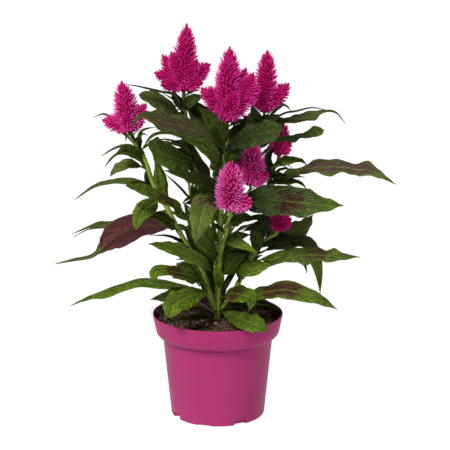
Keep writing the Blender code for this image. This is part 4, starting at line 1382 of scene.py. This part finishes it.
@dataclass
class StemMaker:
    """Makes ribbed stems and keeps their paths for what grows on them."""

    step: float = 9.0
    neck: float = 4.0
    gap: float = 0.3
    ribs: int = 5
    rib_depth: float = 0.07
    node_swell: float = 0.22
    node_reach: float = 2.4
    sides: int = 20
    ring_step: float = 2.5
    fewest_rings: int = 8
    sink: float = 0.6
    rib_turn: float = 1.5
    foot_blush: float = 0.15
    tip_blush: float = 1.5
    carriers: dict = field(default_factory=dict)

    def path(self, stem: Stem, head: Head | None) -> list[Vector]:
        """Return the points that a stem follows, from its carrier to its flower head."""
        points = [place(*spot) for spot in stem.path]
        if stem.carrier:
            foot = self.carriers[stem.carrier].leave(stem.height, points[0],
                                                      self.sink * MM)
            points.insert(0, foot)
        if head:
            base, tip = place(*head.spikes[0][0]), place(*head.spikes[0][1])
            axis = (tip - base).normalized()
            points += [base - axis * self.neck * MM, base - axis * self.gap * MM]
        return smooth_path(points, self.step * MM)

    def build(self, stem: Stem, head: Head | None) -> bpy.types.Object:
        """Return a stem, and remember it for what grows on it."""
        path = self.path(stem, head)
        carrier = Carrier(path, stem.foot_radius, stem.tip_radius)
        self.carriers[stem.name] = carrier
        route = Route(path)
        growing = [item.height for item in (*STEMS[1:], *LEAVES, *SMALL_LEAVES)
                   if getattr(item, "carrier", None) == stem.name
                   or getattr(item, "stem", None) == stem.name]
        nodes = [route.lengths[carrier.index_at(height)] for height in growing]

        def radius(share: float, angle: float) -> float:
            """Return the radius with its ribs and its swollen nodes."""
            along = share * route.length
            swell = sum(math.exp(-((along - at) / (self.node_reach * MM)) ** 2) for at in nodes)
            rib = math.cos(angle * self.ribs + share * self.rib_turn)
            return carrier.radius(share) * (1.0 + rib * self.rib_depth
                                            + min(1.0, swell) * self.node_swell)

        rings = max(self.fewest_rings, round(route.length / (self.ring_step * MM)))
        obj = tube(f"{stem.name}_ribbed", route, rings, self.sides, radius)
        values = np.zeros(len(obj.data.vertices), dtype=np.float32)
        obj.data.attributes["reach"].data.foreach_get("value", values)
        ribs = np.array([(math.cos((index % self.sides) / self.sides * math.tau * self.ribs
                                   + values[index] * self.rib_turn) + 1.0) / 2.0
                         for index in range(len(values))])
        set_values(obj, "rib", ribs)
        set_values(obj, "blush", (values ** 3 * stem.blush * self.tip_blush
                                  + stem.blush * self.foot_blush))
        return obj


@dataclass
class LeafMaker:
    """Makes leaves: a grid bent along a path, shaped, veined and given a wall.

    An edge wave is (waves along the leaf, depth as a share of the width). A ripple is (turn along
    the leaf in radians, how many times the phase, height), and two of them add up to the ruffle.
    """

    carriers: dict
    step: float = 4.0
    sink: float = 0.3
    columns: int = 14
    row_step: float = 2.0
    fewest_rows: int = 14
    stalk_share: float = 0.09
    stalk_half_width: float = 0.8
    tip_half_width: float = 0.2
    widest: float = 0.72
    taper: float = 1.05
    wall: float = 1.3
    edge_wall: float = 0.3
    groove: float = 0.45
    groove_width: float = 0.8
    quilt: float = 1.5
    quilt_full: float = 6.0
    quilt_edge: float = 1.05
    droop: float = 0.10
    side_phase: float = 1.7
    edge_waves: Pairs = ((14.0, 0.12), (31.0, 0.07))
    ripples: tuple = ((19.0, 1.0, 1.0), (33.0, 2.3, 0.7))
    ripple: float = 0.17
    blade_start: float = 12.0
    rib_width: float = 0.16
    rib_taper: float = 0.75
    stalk_wall: float = 0.8
    edge_tone: float = 0.10
    patch_blur: float = 0.06
    name_step: float = 0.37

    def half_width(self, leaf: Leaf, share: float) -> float:
        """Return the half width, in millimetres, at a share of the length."""
        if leaf.shape is not Shape.LANCE:
            return max(self.tip_half_width, leaf.width / 2 * between(
                ((0.0, 2 * self.stalk_half_width / leaf.width), *leaf.shape.value), share))
        if share <= self.stalk_share:
            return self.stalk_half_width
        reach = (share - self.stalk_share) / (1.0 - self.stalk_share)
        swell = max(0.0, math.sin(math.pi * reach ** self.widest)) ** self.taper
        narrow = self.stalk_half_width + (self.tip_half_width - self.stalk_half_width) * reach
        return max(narrow, leaf.width / 2 * swell)

    def build(self, leaf: Leaf, name: str) -> bpy.types.Object:
        """Return one leaf.

        Args:
            leaf: What to make.
            name: The object's name.

        Returns:
            The leaf, closed, with the attributes tone, patch, below and bloom.
        """
        points = [place(*spot) for spot in leaf.path]
        foot = self.carriers[leaf.stem].leave(leaf.height, points[0], self.sink * MM)
        route = Route(smooth_path([foot, *points], self.step * MM))
        rows = max(self.fewest_rows, round(route.length / (self.row_step * MM)))
        begin()
        bpy.ops.mesh.primitive_grid_add(x_subdivisions=self.columns, y_subdivisions=rows, size=2.0)
        obj = bpy.context.object
        entitle(obj, name)
        letters = sum(ord(letter) * (index + 3) for index, letter in enumerate(leaf.name))
        seed = letters * self.name_step
        frames = {}
        flat = [tuple(vert.co) for vert in obj.data.vertices]
        for vert, (side, along, _) in zip(obj.data.vertices, flat):
            share = (along + 1.0) / 2.0
            if along not in frames:
                frames[along] = self.frame(leaf, route, share)
            point, normal, across = frames[along]
            half = self.half_width(leaf, share) * MM
            edge = 1.0 + leaf.wave * sum(
                depth * noise.noise(Vector((share * waves, side, seed)))
                for waves, depth in self.edge_waves)
            lift = self.lift(leaf, side, share, half, seed)
            vert.co = point + across * side * half * edge + normal * lift
        self.give_wall(obj, flat)
        self.colour(leaf, obj, flat)
        return obj

    def frame(self, leaf: Leaf, route: Route, share: float) -> tuple[Vector, Vector, Vector]:
        """Return the middle, the upper side's normal and the way across at a share."""
        middle, direction = route.eased(share)
        tilt = math.radians(leaf.tilt)
        facing = Vector((0.0, -math.sin(tilt), math.cos(tilt)))
        normal = (facing - facing.dot(direction) * direction).normalized()
        return middle, normal, direction.cross(normal)

    def lift(self, leaf: Leaf, side: float, share: float, half: float, seed: float) -> float:
        """Return how far a place stands over the leaf's flat middle, in metres."""
        out = abs(side)
        blade = min(1.0, max(0.0, (share - self.stalk_share) * self.blade_start))
        fold = out * leaf.fold * half - out * out * half * self.droop
        phase = seed + (self.side_phase if side > 0 else 0.0)
        ripple = sum(height * math.sin(share * turn + phase * times)
                     for turn, times, height in self.ripples)
        wave = ripple * out * out * half * self.ripple * leaf.wave
        beat = abs((share * VEIN_PAIRS - out ** VEIN_CURVE * VEIN_LEAN) % 1.0 - 0.5) * 2.0
        quilt = (0.5 + 0.5 * math.cos(math.pi * beat)) * self.quilt * MM
        quilt *= math.sin(math.pi * min(1.0, out * self.quilt_edge))
        midrib = -self.groove * MM * math.exp(-(side * half / (self.groove_width * MM)) ** 2)
        return fold + blade * (wave + quilt * min(1.0, half / (self.quilt_full * MM)) + midrib)

    def give_wall(self, obj: bpy.types.Object, flat: list[tuple]) -> None:
        """Give the blade its wall, thick at the midrib and thin at the edge."""
        group = obj.vertex_groups.new(name="wall")
        for index, (side, along, _) in enumerate(flat):
            share = (along + 1.0) / 2.0
            rib = math.exp(-(side / self.rib_width) ** 2) * (1.0 - share * self.rib_taper)
            stalk = self.stalk_wall if share < self.stalk_share else 0.0
            group.add([index], max(rib, stalk), "REPLACE")
        wall = obj.modifiers.new("Wall", "SOLIDIFY")
        wall.thickness = self.wall * MM
        wall.offset = -1.0
        wall.vertex_group = "wall"
        wall.thickness_vertex_group = self.edge_wall / self.wall
        apply_modifiers(obj)
        obj.vertex_groups.clear()
        smooth(obj)

    def colour(self, leaf: Leaf, obj: bpy.types.Object, flat: list[tuple]) -> None:
        """Store the leaf's tone, its maroon patch and which side a vertex is on."""
        tones, patches = [], []
        for side, along, _ in flat:
            share, out = (along + 1.0) / 2.0, abs(side)
            # A leaf's tone and gain carry painted shade as well as its own lightness
            tones.append(leaf.tone + (share - 0.5) * leaf.gain + out ** 4 * self.edge_tone)
            patches.append(self.maroon(leaf.patch, share, out))
        count = len(flat)
        set_values(obj, "tone", np.array(tones * 2))
        set_values(obj, "patch", np.array(patches * 2))
        set_values(obj, "below", np.array([0.0] * count + [1.0] * count))
        set_values(obj, "bloom", np.full(count * 2, leaf.bloom))

    def maroon(self, patch: Spot, share: float, out: float) -> float:
        """Return how maroon a leaf is at a share of its length and of its half width.

        A patch of full strength reaches the leaf's edges, and a weaker one fades before them.
        """
        start, end, strength = patch
        if not strength:
            return 0.0
        inside = min(share - start + self.patch_blur, end + self.patch_blur - share)
        width = 1.0 if strength >= 1.0 else 1.15 - out ** 2 * 0.9
        return strength * max(0.0, min(1.0, inside / (2 * self.patch_blur))) * min(1.0, width)


@dataclass
class TwigLeaves:
    """Works out the youngest leaves: one in each leaf's axil and a few under each head.

    The tilts are that of a leaf at the front or the side and that of one at the back. Each other
    pair is the least and the greatest value of a draw, in millimetres or, for a turn, degrees.
    """

    carriers: dict
    seed: int = 11
    bare_height: float = 150.0
    wave: float = 0.5
    bends: tuple = (0.35, 0.7, 1.0)
    tilts: tuple = (35.0, -25.0)
    axil_above: float = 2.0
    axil_turns: tuple = (-35, 35)
    axil_lengths: tuple = (15, 27)
    axil_rises: tuple = (0.45, 0.85)
    axil_widths: tuple = (5, 8)
    axil_tones: tuple = (0.0, 0.3)
    under_head: int = 5
    under_gap: float = 6
    under_step: float = 4
    under_turn: float = 360 * 0.38
    under_lengths: tuple = (14, 24)
    under_rises: tuple = (0.2, 0.6)
    under_widths: tuple = (4, 7)
    under_tones: tuple = (0.1, 0.45)

    def near_stem(self, stem: str, height: float, angle: float, length: float, rise: float,
                  width: float, tone: float) -> Leaf:
        """Return a small leaf that leaves a stem at an angle round the upright.

        Args:
            stem: The stem's name.
            height: The height at which it leaves, read on the front plane.
            angle: The way it points, in degrees from +X towards +Y.
            length: Its length in millimetres.
            rise: How steeply it stands up, from 0 to 1.
            width: Its width in millimetres.
            tone: How light it is.

        Returns:
            The leaf.
        """
        carrier = self.carriers[stem]
        start = carrier.path[carrier.index_at(height)] / MM
        turn = math.radians(angle)
        out = Vector((math.cos(turn), math.sin(turn), 0.0))
        spots = []
        for share in self.bends:
            lean = out * share * (1.0 - rise * 0.6) + Vector((0, 0, 1)) * rise * share * (
                1.25 - share * 0.5)
            real = start + lean * length
            reach = distance(real.y)
            spots.append((EYE.x + (real.x - EYE.x) / reach, EYE.z + (real.z - EYE.z) / reach,
                          real.y))
        tilt = self.tilts[0] if out.y < 0.2 else self.tilts[1]
        return Leaf(f"{stem}_{height:.0f}_{angle:.0f}", stem, height, width, tilt, tuple(spots),
                    tone, self.wave)

    def axil(self, leaf: Leaf, draw: random.Random) -> Leaf:
        """Return the small leaf that grows in the corner between a leaf and its stem."""
        start = self.carriers[leaf.stem]
        point = start.path[start.index_at(leaf.height)]
        way = place(*leaf.path[0]) - point
        angle = math.degrees(math.atan2(way.y, way.x)) + draw.uniform(*self.axil_turns)
        return self.near_stem(leaf.stem, leaf.height + self.axil_above, angle,
                              draw.uniform(*self.axil_lengths), draw.uniform(*self.axil_rises),
                              draw.uniform(*self.axil_widths),
                              leaf.tone + draw.uniform(*self.axil_tones))

    def all(self) -> list[Leaf]:
        """Return every young leaf."""
        draw = random.Random(self.seed)
        young = [self.axil(leaf, draw) for leaf in LEAVES
                 if leaf.stem != "main_stem" or leaf.height > self.bare_height]
        for head in HEADS:
            foot = head.spikes[0][0]
            for index in range(self.under_head):
                young.append(self.near_stem(
                    head.stem, foot[1] - self.under_gap - self.under_step * index,
                    self.under_turn * index + foot[0], draw.uniform(*self.under_lengths),
                    draw.uniform(*self.under_rises), draw.uniform(*self.under_widths),
                    draw.uniform(*self.under_tones)))
        return young


@dataclass
class HeadMaker:
    """Makes flower heads: spikes of florets, each three narrow pointed tepals, round a core.

    What ends in range is the least and the greatest value that a draw gives.
    """

    outline: tuple = ((0.0, 0.74), (0.06, 1.0), (0.18, 1.1), (0.4, 1.08), (0.6, 0.97),
                      (0.75, 0.8), (0.88, 0.52), (1.0, 0.06))
    lean: tuple = ((0.0, -50.0), (0.08, -24.0), (0.2, 6.0), (0.4, 27.0), (0.7, 40.0),
                   (0.9, 60.0), (1.0, 84.0))
    footprint: float = 6.6
    tepals: int = 3
    tepal_width: float = 1.2
    splay: float = 0.045
    core_share: float = 0.5
    core_sides: int = 12
    core_length: float = 0.96
    core_thinnest: float = 0.25
    core_reach: float = 0.05
    core_tone: float = 0.3
    longest: float = 10.5
    shortest: float = 4.4
    samples: int = 200
    share_range: tuple = (-0.008, 0.008)
    turn_range: tuple = (-0.12, 0.12)
    radius_range: tuple = (0.9, 1.16)
    lean_range: tuple = (-7, 7)
    length_range: tuple = (0.92, 1.08)
    tone_range: tuple = (-0.22, 0.22)
    tepal_length_range: tuple = (0.88, 1.06)
    tepal_width_range: tuple = (0.85, 1.15)
    tip_start: float = 0.45
    tip_shade: float = 0.5

    def tepal(self) -> tuple[np.ndarray, np.ndarray]:
        """Return the corners and faces of one tepal, 1 long and 1 wide, pointed at both ends."""
        begin()
        bpy.ops.mesh.primitive_cone_add(vertices=3, radius1=0.5, radius2=0.0, depth=0.55,
                                        end_fill_type="TRIFAN", location=(0, 0, 0.725))
        obj = bpy.context.object
        settle(obj)
        bpy.ops.object.mode_set(mode="EDIT")
        mesh = bmesh.from_edit_mesh(obj.data)
        for vert in mesh.verts:
            vert.select_set(math.hypot(vert.co.x, vert.co.y) < 0.1 and vert.co.z < 0.6)
        bmesh.update_edit_mesh(obj.data)
        bpy.ops.transform.translate(value=(0, 0, -0.45))
        bpy.ops.object.mode_set(mode="OBJECT")
        corners = np.array([vert.co for vert in obj.data.vertices])
        faces = np.array([tuple(face.vertices) for face in obj.data.polygons])
        bpy.data.objects.remove(obj, do_unlink=True)
        return corners, faces

    def spike(self, spike: tuple, head: Head, draw: random.Random) -> list[tuple]:
        """Return a spike's tepals as (root, way, length, width, tone)."""
        foot, tip, radius = place(*spike[0]) / MM, place(*spike[1]) / MM, spike[2]
        axis = (tip - foot).normalized()
        height = (tip - foot).length
        side = axis.orthogonal().normalized()
        ahead = axis.cross(side)
        shares = [(index + 0.5) / self.samples for index in range(self.samples)]
        areas = np.cumsum([math.tau * radius * max(0.12, between(self.outline, share))
                           * height / self.samples for share in shares])
        count = int(areas[-1] / self.footprint)
        rows = []
        for index in range(count):
            share = float(np.interp((index + 0.5) * self.footprint, areas, shares))
            share = min(0.995, max(0.0, share + draw.uniform(*self.share_range)))
            turn = index * GOLDEN_ANGLE + draw.uniform(*self.turn_range)
            out = side * math.cos(turn) + ahead * math.sin(turn)
            wide = radius * between(self.outline, share) * draw.uniform(*self.radius_range)
            angle = math.radians(between(self.lean, share) + draw.uniform(*self.lean_range))
            way = out * math.cos(angle) + axis * math.sin(angle)
            length = (wide * (1.0 - self.core_share * 0.7)) / max(0.15, math.cos(angle))
            length = min(self.longest, max(self.shortest, length))
            length *= draw.uniform(*self.length_range)
            end = foot + axis * share * height + out * wide
            rows += self.floret(end - way * length, way, length, share, head, draw)
        return rows

    def floret(self, root: Vector, way: Vector, length: float, share: float, head: Head,
               draw: random.Random) -> list[tuple]:
        """Return the tepals of one floret."""
        right = way.orthogonal().normalized()
        up = way.cross(right)
        tone = (head.tone + draw.uniform(*self.tone_range)
                - max(0.0, share - self.tip_start) * self.tip_shade)
        spin = draw.uniform(0, math.tau)
        rows = []
        for index in range(self.tepals):
            turn = spin + index * math.tau / self.tepals
            splayed = way + (right * math.cos(turn) + up * math.sin(turn)) * self.splay
            size = length * draw.uniform(*self.tepal_length_range)
            width = self.tepal_width * draw.uniform(*self.tepal_width_range)
            rows.append((root, splayed.normalized(), size, width, tone))
        return rows

    def core(self, spike: tuple) -> bpy.types.Object:
        """Return the dark spindle that a spike's florets stand on, which also puts painted shade
        deep among them.
        """
        foot, tip = place(*spike[0]), place(*spike[1])
        height = (tip - foot).length
        outline = [(max(self.core_thinnest, spike[2] * wide * self.core_share) * MM,
                    height * share * self.core_length) for share, wide in self.outline]
        obj = turned("core", outline, self.core_sides)
        obj.rotation_euler = (tip - foot).to_track_quat("Z", "Y").to_euler()
        obj.location = foot
        settle(obj)
        count = len(obj.data.vertices)
        set_values(obj, "reach", np.full(count, self.core_reach))
        set_values(obj, "tone", np.full(count, self.core_tone))
        smooth(obj)
        self.set_map(obj, np.array([
            (self.core_tone + 0.02 * (index % 3), self.core_reach + 0.02 * (index % 2))
            for index in range(len(obj.data.loops))]))
        return obj

    def build(self, head: Head, seed: int) -> bpy.types.Object:
        """Return a flower head.

        Args:
            head: What to make.
            seed: The seed of its random draws.

        Returns:
            The head, with the attributes reach, tone and pale.
        """
        draw = random.Random(seed)
        rows = [row for spike in head.spikes for row in self.spike(spike, head, draw)]
        corners, faces = self.tepal()
        roots = np.array([tuple(row[0]) for row in rows])
        ways = np.array([tuple(row[1]) for row in rows])
        rights = np.array([tuple(row[1].orthogonal().normalized()) for row in rows])
        ups = np.cross(ways, rights)
        lengths = np.array([row[2] for row in rows])
        widths = np.array([row[3] for row in rows])
        tones = np.clip(np.array([row[4] for row in rows]), 0.03, 0.97)
        verts = (roots[:, None, :]
                 + ways[:, None, :] * (corners[None, :, 2] * lengths[:, None])[:, :, None]
                 + rights[:, None, :] * (corners[None, :, 0] * widths[:, None])[:, :, None]
                 + ups[:, None, :] * (corners[None, :, 1] * widths[:, None])[:, :, None]) * MM
        count, size = len(rows), len(corners)
        all_faces = (faces[None, :, :] + (np.arange(count) * size)[:, None, None]).reshape(-1, 3)
        florets = from_corners(head.name, verts.reshape(-1, 3), all_faces.tolist())
        set_values(florets, "reach", np.tile(corners[:, 2], count))
        set_values(florets, "tone", np.repeat(tones, size))
        self.map_tepals(florets, corners, tones)
        piece = join(f"{head.name}_florets", [florets, *[self.core(s) for s in head.spikes]])
        set_values(piece, "pale", np.full(len(piece.data.vertices), head.pale))
        return piece

    def map_tepals(self, florets: bpy.types.Object, corners: np.ndarray,
                   tones: np.ndarray) -> None:
        """Give the tepals a map by tone and reach, which is all that their colour follows."""
        loops = np.zeros(len(florets.data.loops), dtype=np.int32)
        florets.data.loops.foreach_get("vertex_index", loops)
        corner = corners[loops % len(corners)]
        spots = np.stack([tones[loops // len(corners)] + corner[:, 0] * 0.05,
                          0.02 + corner[:, 2] * 0.96], axis=1)
        self.set_map(florets, np.clip(spots, 0.0, 1.0))

    @staticmethod
    def set_map(obj: bpy.types.Object, spots: np.ndarray) -> None:
        """Store where each corner of each face lies on a new map named by BAKE_MAP."""
        layer = obj.data.uv_layers.new(name=BAKE_MAP)
        layer.data.foreach_set("uv", spots.astype(np.float32).ravel())


@dataclass
class Studio:
    """The camera at the photograph's angle, the pale floor and soft light."""

    pitch: float = 76.2
    lens: float = 131.2
    sensor: float = 36.0
    view_end: float = 50.0
    floor_size: float = 60.0
    floor_white: float = 0.05
    floor_glow: float = 0.98
    world_light: float = 0.27
    key_light: float = 3.1
    key_turn: tuple = (42.0, 0.0, -35.0)
    key_spread: float = 20.0

    def camera(self) -> None:
        """Add the camera."""
        data = bpy.data.cameras.new("camera")
        data.lens = self.lens
        data.sensor_width = self.sensor
        data.clip_end = self.view_end
        camera = show("camera", data)
        camera.location = EYE * MM
        camera.rotation_euler = (math.radians(self.pitch), 0.0, 0.0)
        bpy.context.scene.camera = camera

    def sun(self, name: str, strength: float, turn: tuple, spread: float) -> None:
        """Add an even light from one side."""
        data = bpy.data.lights.new(name, "SUN")
        data.energy = strength
        data.angle = math.radians(spread)
        light = show(name, data)
        light.rotation_euler = [math.radians(value) for value in turn]

    def build(self) -> None:
        """Add the camera, the lights, the world and the floor."""
        self.camera()
        self.sun("key", self.key_light, self.key_turn, self.key_spread)
        world = bpy.data.worlds.new("studio")
        world.use_nodes = True
        background = world.node_tree.nodes["Background"]
        background.inputs["Color"].default_value = (1.0, 1.0, 1.0, 1.0)
        background.inputs["Strength"].default_value = self.world_light
        bpy.context.scene.world = world
        bpy.context.scene.view_settings.view_transform = "Standard"
        begin()
        bpy.ops.mesh.primitive_plane_add(size=self.floor_size, location=(0, 0, 0))
        floor = bpy.context.object
        floor.name = "floor"
        graph = Graph("floor_paper")
        white = (self.floor_white,) * 3
        floor.data.materials.append(graph.finish(
            Base_Color=white, Roughness=0.8, Emission_Color=(1.0, 1.0, 1.0),
            Emission_Strength=self.floor_glow))


@dataclass
class Plant:
    """Builds every piece of the part, and hides the CAD solids that the pieces stand for."""

    pieces: int = 0
    head_seed: int = 100

    def declare(self, piece: bpy.types.Object, slot: str, material: bpy.types.Material,
                *nodes: str) -> None:
        """Give a piece its finish and its body, and hide the CAD nodes that it stands for."""
        piece.data.materials.clear()
        piece.data.materials.append(material)
        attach(piece, BODY)
        if nodes:
            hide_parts(*nodes)
        self.pieces += 1
        LOG.info("%s: %d faces", piece.name, len(piece.data.polygons))

    def build_pot(self) -> None:
        """Build the pot, the soil and what lies on it."""
        pot = GrowPot()
        self.declare(pot.build(), "pot", PotFinish().material(), "pot")
        soil = Soil(pot)
        peat = SoilFinish().material()
        self.declare(soil.build(), "soil", peat, "soil")
        bark, grain, dead = (LitterFinish(*looks).material() for looks in LITTER)
        for piece, finish in (
                (soil.scatter(soil.crumb(5, 0.3), "soil_crumbs", soil.crumbs, (0.8, 1.3, 3.4),
                              sink=0.25, seed=21), peat),
                (soil.scatter(soil.strand(), "soil_fibres", soil.fibres, (4.0, 7.0, 13.0),
                              sink=0.42, seed=22), bark),
                (soil.scatter(soil.crumb(8, 0.15), "soil_grains", soil.grains, (1.2, 1.8, 2.6),
                              sink=0.2, seed=23), grain),
                (soil.set_grains(), grain),
                (soil.laid("soil_dead_stalk", DEAD_STALK, 0.75), dead),
                (soil.laid("rim_fibres", RIM_FIBRES, 0.3), bark)):
            self.declare(piece, "soil", finish)

    def build_plant(self) -> None:
        """Build the stems, the flower heads and the leaves."""
        heads = {head.stem: head for head in HEADS}
        stems = StemMaker()
        skin = StemFinish().material()
        for stem in STEMS:
            self.declare(stems.build(stem, heads.get(stem.name)), "stem", skin, stem.name)
        florets = FloretFinish().material()
        maker = HeadMaker()
        for index, head in enumerate(HEADS):
            self.declare(maker.build(head, self.head_seed + index), "flower", florets, head.name)
        leaf_skin = LeafFinish().material()
        leaves = LeafMaker(stems.carriers)
        for leaf in LEAVES:
            self.declare(leaves.build(leaf, f"{leaf.name}_blade"), "leaf", leaf_skin, leaf.name)
        groups: dict[str, list] = {}
        for age, shaper, young in (
                ("small", LeafMaker(stems.carriers, columns=10), SMALL_LEAVES),
                ("young", LeafMaker(stems.carriers, columns=6, row_step=2.5, wall=0.7),
                 TwigLeaves(stems.carriers).all())):
            for leaf in young:
                group = groups.setdefault(f"{age}_leaves_{leaf.stem}", [])
                group.append(shaper.build(leaf, leaf.name))
        for name, members in groups.items():
            self.declare(join(name, members), "leaf", leaf_skin)


def main() -> None:
    """Build the studio and the part."""
    logging.basicConfig(level=logging.INFO, format="%(message)s")
    Studio().build()
    plant = Plant()
    plant.build_pot()
    plant.build_plant()
    LOG.info("%d pieces", plant.pieces)


if __name__ == "__main__":
    main()
